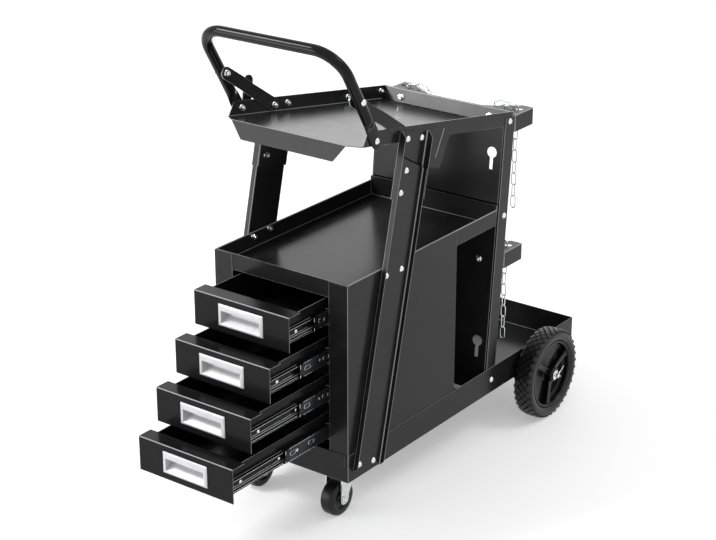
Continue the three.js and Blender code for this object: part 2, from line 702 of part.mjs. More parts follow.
function revolved(points, sides) {
  const profile = points.map(([radius, x]) => new THREE.Vector2(radius, x));
  return new THREE.LatheGeometry(profile, sides).rotateZ(-Math.PI / 2);
}

// Rim: barrel, web and hub in one moulding, with raised spokes on both faces
function wheelRim() {
  const bore = AXLE_R + AXLE_PLAY;
  const barrel = RIM_R - RIM_WALL;
  const [edge, lip] = [TYRE_HALF - 6, TYRE_HALF - 5];
  const body = revolved([
    [bore, -HUB_HALF], [HUB_R, -HUB_HALF], [HUB_R, -WEB_HALF], [barrel, -WEB_HALF], [barrel, -edge],
    [RIM_R, -lip], [RIM_R, lip], [barrel, edge], [barrel, WEB_HALF], [HUB_R, WEB_HALF], [HUB_R, HUB_HALF],
    [bore, HUB_HALF], [bore, -HUB_HALF],
  ], 24);
  const spokes = Array.from({ length: SPOKES }, (_, spoke) => {
    const arm = block(-SPOKE_DEPTH, SPOKE_DEPTH, HUB_R - 3, barrel + 2, -SPOKE_HALF, SPOKE_HALF);
    return arm.rotateX(SPOKE_ANGLE + (spoke * 2 * Math.PI) / SPOKES);
  });
  return join(body, ...spokes);
}

function rearAxle() {
  const bar = roundBar(AXLE_R, -AXLE_HALF, AXLE_HALF, AXLE_Y, WHEEL_R, 16);
  const eye = new THREE.CylinderGeometry(2, 2, 4 * AXLE_R, 8).translate(PIN_X, AXLE_Y, WHEEL_R);
  return cut(bar, eye, mirrored(eye));
}

function axleBracket() {
  const top = BASE_BOTTOM - GAP;
  const web = across(outline([
    [AXLE_Y - 26, top], [AXLE_Y - 14, WHEEL_R - 12], [AXLE_Y + 14, WHEEL_R - 12], [AXLE_Y + 26, top],
  ]), 150, 153);
  const flange = block(122, 153, AXLE_Y - 26, AXLE_Y + 26, top - 2, top);
  const bore = roundBar(AXLE_R + AXLE_PLAY, 100, 180, AXLE_Y, WHEEL_R, 16);
  return cut(join(web, flange), bore);
}

function axleWasher() {
  const x = WHEEL_X + HUB_HALF + 0.8;
  const disc = roundBar(11, x, x + 2, AXLE_Y, WHEEL_R);
  return cut(disc, roundBar(AXLE_R + AXLE_PLAY, x - 5, x + 5, AXLE_Y, WHEEL_R, 12));
}

// Split pin: eye in front of the axle, a long and a short leg spread behind it
function splitPin() {
  const wire = 1.5;
  const shank = upright(wire, 0, 0, -8, 9, 6);
  const leg = (length, angle) => (
    upright(wire * 0.8, 0, 0, -length, 1, 6).rotateX(angle).translate(0, 0, -7.5));
  const eye = new THREE.TorusGeometry(3, 1.2, 5, 8).rotateY(Math.PI / 2).translate(0, 0, 11);
  const pin = join(shank, eye, leg(26, -0.6), leg(14, 0.75));
  return pin.rotateX(Math.PI / 2).translate(PIN_X, AXLE_Y, WHEEL_R);
}

// Front casters
function casterPlate() {
  const top = BASE_BOTTOM - GAP;
  const plate = block(CASTER_X - 30, CASTER_X + 30, CASTER_Y - 25, CASTER_Y + 25, top - 2.5, top);
  const pin = upright(6, CASTER_X, CASTER_Y, top - 13, top - 2, 12);
  const race = upright(19, CASTER_X, CASTER_Y, top - 5, top - 2);
  return join(plate, race, pin);
}

function casterFork() {
  const top = BASE_BOTTOM - GAP - 5.4;
  const axleY = CASTER_Y - CASTER_TRAIL;
  const half = CASTER_HALF + 3;
  const crown = upright(21, CASTER_X, CASTER_Y, top - 4, top);
  const bridge = block(
    CASTER_X - half - FORK_SHEET, CASTER_X + half + FORK_SHEET, axleY - 4, CASTER_Y + 22, top - 5, top - 2);
  const cheek = across(outline([
    [axleY - 9, CASTER_R - 2], [axleY - 6, top - 3], [CASTER_Y + 22, top - 3], [CASTER_Y + 22, top - 10],
    [axleY + 14, CASTER_R + 12], [axleY + 10, CASTER_R + 2], [axleY + 9, CASTER_R - 4],
    [axleY + 4, CASTER_R - 10], [axleY - 4, CASTER_R - 10],
  ]), CASTER_X + half, CASTER_X + half + FORK_SHEET);
  const other = cheek.clone().translate(-2 * half - FORK_SHEET, 0, 0);
  const bore = upright(6.5, CASTER_X, CASTER_Y, top - 20, top + 20, 12);
  const axleBore = roundBar(4.4, CASTER_X - 40, CASTER_X + 40, axleY, CASTER_R, 12);
  return cut(join(crown, bridge, cheek, other), bore, axleBore);
}

function casterAxle() {
  const half = CASTER_HALF + 6;
  const axleY = CASTER_Y - CASTER_TRAIL;
  const bar = roundBar(4, CASTER_X - half - 1, CASTER_X + half + 1, axleY, CASTER_R, 12);
  const head = roundBar(7, CASTER_X + half, CASTER_X + half + 4.5, axleY, CASTER_R, 6);
  const nut = roundBar(7, CASTER_X - half - 4.5, CASTER_X - half, axleY, CASTER_R, 6);
  return join(bar, head, nut);
}

function casterWheel() {
  const [r, w] = [CASTER_R, CASTER_HALF];
  const wheel = revolved([
    [4.4, -w + 1], [11, -w + 1], [13, -w + 5], [22, -w + 5], [24, -w], [r - 2, -w + 2], [r, -w + 6],
    [r, w - 6], [r - 2, w - 2], [24, w], [22, w - 5], [13, w - 5], [11, w - 1], [4.4, w - 1], [4.4, -w + 1],
  ], 18);
  return wheel.translate(CASTER_X, CASTER_Y - CASTER_TRAIL, CASTER_R);
}

// Chains: long links that bear on each other, turned a quarter from link to link
function link() {
  const straight = LINK_END - LINK_HALF_WIDTH * Math.sin(Math.PI / LINK_STEPS);
  const path = [];
  for (const end of [1, -1]) {
    for (let step = 0; step <= LINK_STEPS; step += 1) {
      const angle = (step / LINK_STEPS) * Math.PI;
      path.push(new THREE.Vector3(
        end * LINK_HALF_WIDTH * Math.cos(angle), 0, end * (straight + LINK_HALF_WIDTH * Math.sin(angle))));
    }
  }
  return sweep(path, new THREE.Vector3(0, 1, 0), () => roundSection(LINK_WIRE, LINK_SIDES), true);
}

// Put a link between each two spots, every other one turned a quarter about its run
function chain(spots, firstTurn) {
  return spots.slice(1).map((to, step) => {
    const from = spots[step];
    const heading = to.clone().sub(from).normalize();
    const swing = new THREE.Quaternion().setFromUnitVectors(new THREE.Vector3(0, 0, 1), heading);
    const middle = from.clone().add(to).multiplyScalar(0.5);
    const form = link().rotateZ((firstTurn + (step % 2)) * Math.PI / 2);
    return form.applyQuaternion(swing).translate(middle.x, middle.y, middle.z);
  });
}

function hornSlot({ front, top }, side) {
  return new THREE.Vector3(side * HORN_SLOT_X, front + HORN_HOLE_Y, top);
}

// Straight run of links under a slot, counted from the link that goes through it
function hangingRun(slot, first, count, lift) {
  const top = slot.z - ANCHOR_DROP + LINK_STEP / 2 + lift;
  return chain(Array.from({ length: count + 1 }, (_, step) => (
    new THREE.Vector3(slot.x, slot.y, top - (first + step) * LINK_STEP))), first);
}

// Loose end of the chain, hung in the link that goes through the right slot
function chainTail(horn) {
  return join(...hangingRun(hornSlot(horn, 1), 1, TAIL_LINKS, LINK_BITE + GAP));
}

// Height of the drape over the bracket: up from the slot to the plate's edge, then a sag
function drapeHeight(x, sag) {
  const edge = DRAPE_EDGE;
  const over = Math.abs(x) - edge;
  return over > 0 ? DRAPE_REST + (DRAPE_TOP - DRAPE_REST) * (over / (HORN_SLOT_X - edge))
    : DRAPE_REST - sag * (1 - (x / edge) ** 2);
}

// Step off the drape from its left end in link lengths
function drapeSpots(slot, sag) {
  const start = -DRAPE_END_X;
  const spots = [new THREE.Vector3(start, slot.y, slot.z + drapeHeight(start, sag))];
  for (let count = 0; count < DRAPE_LINKS; count += 1) {
    const from = spots.at(-1);
    let [near, far] = [0, LINK_STEP];
    for (let trial = 0; trial < 30; trial += 1) {
      const x = from.x + (near + far) / 2;
      const reach = Math.hypot(x - from.x, slot.z + drapeHeight(x, sag) - from.z);
      [near, far] = reach < LINK_STEP ? [(near + far) / 2, far] : [near, (near + far) / 2];
    }
    const x = from.x + near;
    spots.push(new THREE.Vector3(x, slot.y, slot.z + drapeHeight(x, sag)));
  }
  return spots;
}

// Chain over the bracket, with the sag that brings its last link into the one in the right slot
function chainDrape(horn) {
  const slot = hornSlot(horn, 1);
  let [low, high] = [0, 200];
  for (let trial = 0; trial < 30; trial += 1) {
    const sag = (low + high) / 2;
    [low, high] = drapeSpots(slot, sag).at(-1).x > DRAPE_END_X ? [sag, high] : [low, sag];
  }
  const anchors = [-1, 1].flatMap((side) => hangingRun(hornSlot(horn, side), 0, 1, 0));
  return join(...anchors, ...chain(drapeSpots(slot, low), 1));
}

// Assembly
place('base_pan', basePan(), paint);
pair('side_panel', sidePanel(), paint);
place('cabinet_back_panel', cabinetBack(), paint);
place('middle_shelf', middleShelf(), paint);
pair('rear_post', rearPost(), paint, rearFrame);
place('rear_lower_panel', rearPanel(2, LOWER_PANEL_TOP, LOWER_KEYHOLE), paint, rearFrame);
place('rear_upper_panel', rearPanel(PANEL_SPLIT, PANEL_TOP, UPPER_KEYHOLE), paint, rearFrame);
place('upper_tank_bracket', tankBracket(UPPER_HORN), paint);
place('lower_tank_bracket', tankBracket(LOWER_HORN), paint);
place('top_tray', topTray(), paint, trayFrame);
pair('upper_strut', upperStrut(), paint, strutFrame);
pair('lower_strut', lowerStrut(), paint, strutFrame);
place('handle_bar', handleBar(), paint, handleFrame);
pair('handle_brace', handleBrace(), paint);
place('cable_hook', cableHook(), paint, trayFrame);

DRAWER_TOPS.forEach((top, index) => {
  const number = index + 1;
  place(`drawer_${number}`, drawer(top, DRAWER_OPEN[index]), paint);
  place(`drawer_pull_${number}`, drawerPull(top, DRAWER_OPEN[index]), satin);
  pair(`runner_${number}`, runner(RUNNER_FRONTS[index], top - SLIDE_DROP), slideSteel);
});

place('rear_axle', rearAxle(), zinc);
pair('axle_bracket', axleBracket(), paint);
pair('axle_washer', axleWasher(), zinc);
pair('split_pin', splitPin(), zinc);
pair('rear_tyre', tyre().translate(WHEEL_X, AXLE_Y, WHEEL_R), rubber);
pair('wheel_rim', wheelRim().translate(WHEEL_X, AXLE_Y, WHEEL_R), polymer);
pair('caster_plate', casterPlate(), zinc);
pair('caster_fork', casterFork(), zinc);
pair('caster_axle', casterAxle(), zinc);
pair('caster_wheel', casterWheel(), rubber);

place('upper_chain_tail', chainTail(UPPER_HORN), zinc);
place('lower_chain_tail', chainTail(LOWER_HORN), zinc);
place('upper_chain_drape', chainDrape(UPPER_HORN), zinc);
place('lower_chain_drape', chainDrape(LOWER_HORN), zinc);

// The origin is on the floor under the middle of the cart as it stands with its drawers out
const nose = -DRAWER_OPEN.at(-1) - GAP - PULL_RAISE;
cart.position.y = -(nose + BASE_LENGTH) / 2;

export default cart;
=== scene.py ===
"""Welding cart in black powder coat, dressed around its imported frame.

Lengths are in millimetres and turn to metres in at() and MM. The cart stands with its drawers
towards -Y, its bottle bay towards +Y and its wheels on Z = 0.
"""
import json
from math import cos, hypot, pi, radians, sin, sqrt

import bmesh
import bpy
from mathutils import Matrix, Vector


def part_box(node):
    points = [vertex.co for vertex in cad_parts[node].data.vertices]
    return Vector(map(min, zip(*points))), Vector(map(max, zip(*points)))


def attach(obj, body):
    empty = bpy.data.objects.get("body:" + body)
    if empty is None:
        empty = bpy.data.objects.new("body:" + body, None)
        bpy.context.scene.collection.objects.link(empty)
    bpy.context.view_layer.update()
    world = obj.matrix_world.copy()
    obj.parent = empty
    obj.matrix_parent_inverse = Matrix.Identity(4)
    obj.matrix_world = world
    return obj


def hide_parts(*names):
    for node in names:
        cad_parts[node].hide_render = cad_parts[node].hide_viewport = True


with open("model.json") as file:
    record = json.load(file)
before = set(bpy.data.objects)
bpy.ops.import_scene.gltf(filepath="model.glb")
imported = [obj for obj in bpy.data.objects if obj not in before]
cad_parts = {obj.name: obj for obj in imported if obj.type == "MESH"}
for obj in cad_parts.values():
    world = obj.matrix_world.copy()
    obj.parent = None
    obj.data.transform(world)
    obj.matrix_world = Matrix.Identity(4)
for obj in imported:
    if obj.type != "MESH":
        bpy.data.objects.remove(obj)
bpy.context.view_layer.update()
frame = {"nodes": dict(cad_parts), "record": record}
scene = bpy.context.scene

MM = 0.001
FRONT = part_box("base_pan")[0].y  # front wall of the base, in metres
FRAME_BODY = "cart_frame"

# Sizes that follow the frame
SHEET = 1.5
BASE_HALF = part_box("base_pan")[1].x / MM
SHELF_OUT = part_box("middle_shelf")[1].x / MM
STRUT_FACE = BASE_HALF + 0.3 + SHEET  # outer face of the lower strut
UPPER_STRUT_FACE = SHELF_OUT + 0.3 + SHEET
POST_FACE = BASE_HALF - 0.3 - SHEET
WALL_INSIDE = SHELF_OUT - SHEET  # inner face of the tray and shelf walls
SIDES = (("right", 1), ("left", -1))
HIGHLIGHT_MARK = "painted_highlight"  # face mark on rounded bends and edges, where a pale painted highlight goes


def at(x, y, z):
    """A point of the cart, measured from the front wall of its base."""
    return Vector((x * MM, y * MM + FRONT, z * MM))


# Finishes
def linear(code):
    """sRGB hex to linear colour."""
    parts = [int(code[start:start + 2], 16) / 255 for start in (1, 3, 5)]
    return [(p / 12.92 if p <= 0.04045 else ((p + 0.055) / 1.055) ** 2.4) for p in parts] + [1.0]


def per_mm(size):
    """Texture scale whose features are this many millimetres across."""
    return 1 / (size * MM)


def add(tree, kind, values, links=None):
    """Add one node with its settings and its incoming links."""
    item = tree.nodes.new(kind)
    for name, value in values.items():
        if name in item.inputs:
            item.inputs[name].default_value = value
        else:
            setattr(item, name, value)
    for name, source in (links or {}).items():
        tree.links.new(source, item.inputs[name])
    return item


def new_finish(name, values):
    """A material with its shader, its object coordinates and its node tree."""
    material = bpy.data.materials.new(name)
    material.use_nodes = True
    tree = material.node_tree
    shader = tree.nodes["Principled BSDF"]
    for socket, value in values.items():
        shader.inputs[socket].default_value = value
    place = tree.nodes.new("ShaderNodeTexCoord").outputs["Object"]
    return material, tree, shader, place


def mottle(tree, shader, place, size, dark, light):
    """Slow drift between two shades of one colour."""
    noise = add(tree, "ShaderNodeTexNoise", {"Scale": per_mm(size), "Detail": 3.0}, {"Vector": place})
    shades = add(tree, "ShaderNodeValToRGB", {}, {"Fac": noise.outputs["Fac"]})
    shades.color_ramp.elements[0].position = 0.35
    shades.color_ramp.elements[1].position = 0.65
    shades.color_ramp.elements[0].color = linear(dark)
    shades.color_ramp.elements[1].color = linear(light)
    tree.links.new(shades.outputs["Color"], shader.inputs["Base Color"])
    return shades


def vary_gloss(tree, shader, place, size, low, high):
    """Gloss that changes a little from place to place."""
    noise = add(tree, "ShaderNodeTexNoise", {"Scale": per_mm(size), "Detail": 2.0}, {"Vector": place})
    span = add(tree, "ShaderNodeMapRange", {"From Min": 0.3, "From Max": 0.7, "To Min": low, "To Max": high},
               {"Value": noise.outputs["Fac"]})
    tree.links.new(span.outputs["Result"], shader.inputs["Roughness"])


def roughen(tree, shader, place, size, depth, strength, stretch=(1, 1, 1)):
    """Fine relief of the surface."""
    spread = add(tree, "ShaderNodeMapping", {"Scale": stretch}, {"Vector": place})
    noise = add(tree, "ShaderNodeTexNoise", {"Scale": per_mm(size), "Detail": 4.0},
                {"Vector": spread.outputs["Vector"]})
    relief = add(tree, "ShaderNodeBump", {"Strength": strength, "Distance": depth * MM},
                 {"Height": noise.outputs["Fac"]})
    tree.links.new(relief.outputs["Normal"], shader.inputs["Normal"])


PAINTED_EDGE_HIGHLIGHT = "#9c9c9e"  # pale painted highlight on the powder coat over bends and cut edges


def powder_coat(name, dark, light, shine, gloss=(0.205, 0.235)):
    """Polyester powder coat on steel sheet: a black film with a soft gloss and a trace of orange peel, so
    flat panels take smooth grey reflections of the room. Bends and cut edges carry a pale painted highlight,
    mixed in as colour, which shows as fine pale lines."""
    material, tree, shader, place = new_finish(name, {"IOR": 1.5, "Specular IOR Level": shine})
    film = mottle(tree, shader, place, 60, dark, light)
    # the face mark paints bends and cut edges pale: a painted highlight
    highlight_mask = add(tree, "ShaderNodeAttribute", {"attribute_name": HIGHLIGHT_MARK})
    blend = add(tree, "ShaderNodeMixRGB", {"Color2": linear(PAINTED_EDGE_HIGHLIGHT)},
                {"Fac": highlight_mask.outputs["Fac"], "Color1": film.outputs["Color"]})
    tree.links.new(blend.outputs["Color"], shader.inputs["Base Color"])
    vary_gloss(tree, shader, place, 40, *gloss)
    roughen(tree, shader, place, 3.0, 0.012, 0.35)
    return material


def black_zinc():
    """Rolled slide steel in black zinc: darker and more metallic than paint, drawn along its length."""
    material, tree, shader, place = new_finish("black_zinc_slide", {"Metallic": 0.75})
    mottle(tree, shader, place, 25, "#232426", "#2e2f32")
    vary_gloss(tree, shader, place, 14, 0.24, 0.36)
    roughen(tree, shader, place, 1.2, 0.01, 0.3, (1, 0.08, 1))
    return material


def satin_silver():
    """Moulded pull in satin silver lacquer: pale, even and slightly metallic."""
    material, tree, shader, place = new_finish("satin_silver_lacquer", {"Metallic": 0.15, "IOR": 1.5})
    mottle(tree, shader, place, 18, "#c2c2c4", "#cbcbcd")
    vary_gloss(tree, shader, place, 9, 0.3, 0.38)
    roughen(tree, shader, place, 0.8, 0.01, 0.25)
    return material


def bright_zinc():
    """Bright zinc plate on steel wire, pressings and bolts: a clear metal with a faint cloud in its gloss."""
    material, tree, shader, place = new_finish("bright_zinc_plate", {"Metallic": 1.0})
    mottle(tree, shader, place, 6, "#d4d6d8", "#e6e7e9")
    vary_gloss(tree, shader, place, 5, 0.16, 0.28)
    roughen(tree, shader, place, 0.9, 0.01, 0.3)
    return material


def tyre_rubber():
    """Moulded solid rubber: a dull black that scatters most light, with a fine mould grain."""
    material, tree, shader, place = new_finish("tyre_rubber", {"IOR": 1.52, "Specular IOR Level": 0.36})
    mottle(tree, shader, place, 20, "#0c0c0c", "#121212")
    vary_gloss(tree, shader, place, 10, 0.3, 0.4)
    roughen(tree, shader, place, 1.1, 0.05, 0.4)
    return material


def moulded_polypropylene():
    """Injection-moulded polypropylene of the rims: smooth deep black with a broad soft highlight."""
    material, tree, shader, place = new_finish(
        "moulded_polypropylene", {"IOR": 1.49, "Specular IOR Level": 0.2})
    mottle(tree, shader, place, 30, "#080808", "#0d0d0d")
    vary_gloss(tree, shader, place, 15, 0.16, 0.22)
    roughen(tree, shader, place, 1.4, 0.015, 0.3)
    return material


def painted_gap_shade():
    """Painted shade: a flat near-black without gloss, standing in for the shaded depth of a narrow gap or
    slot.
    """
    dull = {"Base Color": linear("#050505"), "Specular IOR Level": 0.0, "Roughness": 1.0}
    return new_finish("painted_gap_shade", dull)[0]


def caster_rubber():
    """Turned caster rubber: smoother than the tyres, with a low sheen."""
    material, tree, shader, place = new_finish("caster_rubber", {"IOR": 1.52, "Specular IOR Level": 0.28})
    mottle(tree, shader, place, 14, "#0b0b0b", "#111111")
    vary_gloss(tree, shader, place, 8, 0.34, 0.44)
    roughen(tree, shader, place, 0.9, 0.02, 0.3)
    return material


FINISHES = {
    "black_powder_coat": powder_coat("black_powder_coat", "#1d1d1e", "#212122", 0.18),
    "black_zinc_slide": black_zinc(),
    "satin_silver": satin_silver(),
    "zinc_plate": bright_zinc(),
    "tyre_rubber": tyre_rubber(),
    "black_polymer": moulded_polypropylene(),
    "caster_rubber": caster_rubber(),
}
# Painted shade: the drawers get a darker, less glossy copy of the cabinet's coat, so they read a shade deeper
DRAWER_COAT_PAINTED_SHADE = powder_coat("black_powder_coat_drawers_painted_shade", "#111112", "#141415", 0.1)
# The handle is smoother, so its highlight is a narrow line. Its coat is also a darker copy of the cabinet's,
# painted shade on the tube
HANDLE_COAT = powder_coat("black_powder_coat_handle", "#111112", "#141415", 0.14, (0.11, 0.14))
GAP_SHADE = painted_gap_shade()
SLOTS = {row["node"]: row["material_slot"] for row in frame["record"]["subparts"]}
BODIES = {node: body for body, nodes in frame["record"]["behaviour"]["bodies"].items() for node in nodes}


# Mesh work
def dress(mesh_name, form, slot, body, *nodes, crease=35, finish=None):
    """Turn a bmesh into a piece that rides on a body and stands for CAD nodes. It has its slot's finish,
    unless another is given."""
    bmesh.ops.remove_doubles(form, verts=form.verts, dist=0.001 * MM)
    bmesh.ops.recalc_face_normals(form, faces=form.faces)
    mesh = bpy.data.meshes.new(mesh_name)
    form.to_mesh(mesh)
    form.free()
    mesh.shade_smooth()
    mesh.set_sharp_from_angle(angle=radians(crease))
    mesh.materials.append(finish or FINISHES[slot])
    thing = bpy.data.objects.new(mesh_name, mesh)
    scene.collection.objects.link(thing)
    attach(thing, body)
    if nodes:
        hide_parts(*nodes)
    return thing


def even_normals(thing):
    """Keep flat faces flat beside their rounded edges."""
    keeper = thing.modifiers.new("even_normals", "WEIGHTED_NORMAL")
    keeper.keep_sharp = True
    return thing


def breadth(face):
    """Rough width of a face: the sheet's thickness on a cut edge."""
    return 2 * face.calc_area() / face.calc_perimeter()


def broad_faces(form):
    """Tell each face of a sheet from its cut edges."""
    return {face: breadth(face) > 2.2 * SHEET * MM for face in form.faces}


def sheet_piece(node, fold=2.0, rim=0.3, pale_hollows=True, finish=None):
    """A folded sheet: the CAD solid with bent folds and rounded cut edges. A pale painted highlight goes on
    its cut edges and on every bend, or on the outer bends alone."""
    form = bmesh.new()
    form.from_mesh(frame["nodes"][node].data)
    bmesh.ops.remove_doubles(form, verts=form.verts, dist=0.02 * MM)
    bmesh.ops.dissolve_limit(form, angle_limit=radians(1), verts=form.verts, edges=form.edges)
    painted_highlight = form.faces.layers.float.new(HIGHLIGHT_MARK)
    wide = broad_faces(form)
    # Painted highlight: cut edges are painted partly pale, bends and rounded rims fully pale
    for face, broad in wide.items():
        face[painted_highlight] = 0.0 if broad else 0.7
    cut_edges = [face for face in form.faces if len(face.verts) > 4 and not wide[face]]
    bmesh.ops.triangulate(form, faces=cut_edges)
    if fold:
        wide = broad_faces(form)
        folds = [edge for edge in form.edges if edge.is_manifold and edge.calc_face_angle() > radians(40)
                 and all(wide[face] for face in edge.link_faces)]
        bends = bmesh.ops.bevel(form, geom=folds, offset=fold * MM, offset_type="OFFSET", segments=3,
                                profile=0.5, affect="EDGES", clamp_overlap=True)
        for face in bends["faces"]:
            turn = sum(edge.calc_face_angle_signed(0) for edge in face.edges if edge.is_manifold)
            face[painted_highlight] = 1.0 if pale_hollows or turn > 0 else 0.0
    rims = [edge for edge in form.edges if edge.is_manifold and edge.calc_face_angle() > radians(50)]
    cuts = bmesh.ops.bevel(form, geom=rims, offset=rim * MM, offset_type="OFFSET", segments=2, profile=0.5,
                           affect="EDGES", clamp_overlap=True)
    for face in cuts["faces"]:
        face[painted_highlight] = 1.0
    return even_normals(dress(f"{node}_sheet", form, SLOTS[node], BODIES[node], node, finish=finish))


def ring(form, spots):
    """Points of one cross-section."""
    return [form.verts.new(spot) for spot in spots]


def loft(form, rings, closed_run=False, closed_ring=True, capped=True):
    """Skin a run of rings that have the same number of points."""
    loops = [ring(form, spots) for spots in rings]
    count = len(loops[0])
    last = len(loops) if closed_run else len(loops) - 1
    for index in range(last):
        low, high = loops[index], loops[(index + 1) % len(loops)]
        for side in range(count if closed_ring else count - 1):
            beside = (side + 1) % count
            form.faces.new((low[side], low[beside], high[beside], high[side]))
    if capped and not closed_run and closed_ring:
        form.faces.new(loops[0][::-1])
        form.faces.new(loops[-1])
    return loops


def turned(form, profile, centre, axis, sides=48):
    """Revolve (radius, height) pairs, in millimetres, about an axis through centre. A profile that starts
    at radius 0 closes on the axis, any other closes on itself."""
    across = axis.orthogonal().normalized()
    up = axis.cross(across)
    rings = []
    for step in range(sides):
        angle = 2 * pi * step / sides
        out = across * cos(angle) + up * sin(angle)
        rings.append([centre + out * (radius * MM) + axis * (height * MM) for radius, height in profile])
    loft(form, rings, closed_run=True, closed_ring=profile[0][0] > 0)


def tube(form, path, radius, sides=12, closed=False, normal=Vector((0, 0, 1))):
    """Round wire along a path of points in metres that lies across normal."""
    count = len(path)
    rings = []
    for step, spot in enumerate(path):
        before = path[(step - 1) % count if closed else max(step - 1, 0)]
        after = path[(step + 1) % count if closed else min(step + 1, count - 1)]
        side = (after - before).cross(normal).normalized()
        rise = side.cross(after - before).normalized()
        angles = [2 * pi * turn / sides for turn in range(sides)]
        rings.append([spot + (side * cos(angle) + rise * sin(angle)) * (radius * MM) for angle in angles])
    loft(form, rings, closed_run=closed)


def slab(form, corners, low, high, place):
    """Extrude an outline of (u, v) pairs from low to high; place maps (u, v, w) to a point."""
    loft(form, [[place(u, v, w) for u, v in corners] for w in (low, high)])


def rounded(width, height, corner, steps=4):
    """Outline of a rectangle about its middle with round corners."""
    spots = []
    for quarter, (u, v) in enumerate(((1, 1), (-1, 1), (-1, -1), (1, -1))):
        for step in range(steps + 1):
            angle = (quarter + step / steps) * pi / 2
            spots.append((u * (width / 2 - corner) + corner * cos(angle),
                          v * (height / 2 - corner) + corner * sin(angle)))
    return spots


# Sheet steel
SHEET_NODES = (
    "base_pan", "right_side_panel", "left_side_panel", "cabinet_back_panel", "middle_shelf",
    "right_rear_post", "left_rear_post", "rear_lower_panel", "rear_upper_panel", "upper_tank_bracket",
    "lower_tank_bracket", "top_tray", "right_upper_strut", "left_upper_strut", "right_lower_strut",
    "left_lower_strut", "right_handle_brace", "left_handle_brace", "right_axle_bracket", "left_axle_bracket",
)
for name in SHEET_NODES:
    sheet_piece(name)
for name in ("drawer_1", "drawer_2", "drawer_3", "drawer_4"):
    sheet_piece(name, pale_hollows=False, finish=DRAWER_COAT_PAINTED_SHADE)
for name, slot in SLOTS.items():
    frame["nodes"][name].data.materials.clear()
    frame["nodes"][name].data.materials.append(FINISHES[slot])

# Bolts and nuts: domed flange heads outside, flange nuts with bolt ends inside
DOME = ((0, 0), (6.6, 0), (6.6, 0.8), (6.0, 1.1), (5.7, 1.6), (5.0, 2.8), (3.5, 3.7), (1.8, 4.1), (0, 4.2))
NUT_FLANGE = ((0, 0), (6.8, 0), (6.8, 0.7), (5.6, 1.7), (0, 1.7))
NUT = ((0, 1.3), (5.4, 1.3), (5.77, 1.8), (5.77, 5.6), (5.1, 6.2), (0, 6.2))
BOLT_END = ((0, 5), (2.9, 5), (2.9, 9.0), (2.3, 9.8), (0, 9.8))
SCREW = ((0, -0.3), (4.2, -0.3), (4.2, 0.6), (3.6, 1.5), (2.2, 2.1), (0, 2.3))
RIVET = ((0, -0.3), (3.4, -0.3), (3.2, 0.2), (2.0, 0.45), (0, 0.5))

# Planes and places on the frame
TRAY_SLOPE = radians(9.6)
TRAY_FRONT = (33, 806)  # Y and Z of the tray's front edge
APRON_FOOT, APRON_TOP, APRON_RISE = 543, 553.4, 28.6  # leaning sheet at the tray's rear
APRON_NUT = (115.1, 11)  # from the tray's middle, and up
BEND_SLOT_Y = 539  # slots along the tray's rear bend
BEND_SLOTS = range(-90, 60, 25)
GUSSET = ((228, -0.5), (228, -55), (294, -68), (318, -0.5))  # hanging corner of the tray's wall, along and up
GUSSET_EDGE = ((292.6, 15), (271.6, -44))  # rear edge of the plate on it
EDGE_R = 1.4
STRUT_LEAN = radians(13.4)
STRUT_FOOT = (62, 132)
STRUT_JOINT = ((-46, 632), (46, 605.6))  # top edge of the lower strut, across and up the lean
STRUT_GAP = 3.2
REAR_LEAN = radians(5.05)
PANEL_FOOT = (502, 115)
PANEL_FACE = -1.8  # front face of the rear panels
PANEL_NUT = (128.2, 304)  # from the panels' middle, and up their lean
SEAM_UP = 385  # joint of the rear panels, up their lean
SEAM_BACK = 0.3
SHELF_REAR_RISE = 10  # the shelf's rear wall stands above its sides
SHELF_RUN = (6, 532)  # front and rear ends of the shelf's rolled edges
ROLL_R = 1.3
HOOK_WALL = SHELF_OUT + 0.3
HOOK_Y = 105  # along the tray
HOOK_HALF = 13
HOOK_RISE = 74
HOOK_OUT = 26
HOOK_SHEET = 3
HOOK_LEAF = (-18, 22)  # leaf on the tray's wall, below and above its floor
HANDLE_LEAN = radians(31)
HANDLE_FOOT = (93, 805)
HANDLE_X = SHELF_OUT + 2.1  # middle of the handle's legs
BRACE_BOLT = (10.6, 106)  # out from the leg's middle, and up the leg
BEND_R = 58
GRIP_UP = 227  # middle of the grip, up the legs
TUBE_R = 11
FLAT_END, FLAT_TOP, TAPER = 16, 32, 26  # flat beyond its bolt, flat above it, and the run from flat to round
FLAT_HALF = 1.8


def on_tray(x, along, up):
    """A point measured along the sloping tray from its front edge and up from its floor."""
    y, z = TRAY_FRONT
    return at(x, y + along * cos(TRAY_SLOPE) + up * sin(TRAY_SLOPE),
              z - along * sin(TRAY_SLOPE) + up * cos(TRAY_SLOPE))


def on_handle(x, along):
    """A point of the handle's plane, measured up its legs from the foot bolts."""
    y, z = HANDLE_FOOT
    return at(x, y - along * sin(HANDLE_LEAN), z + along * cos(HANDLE_LEAN))


def on_strut(x, across, up):
    """A point measured across a strut from its middle and up its lean."""
    y, z = STRUT_FOOT
    return at(x, y + across * cos(STRUT_LEAN) + up * sin(STRUT_LEAN),
              z - across * sin(STRUT_LEAN) + up * cos(STRUT_LEAN))


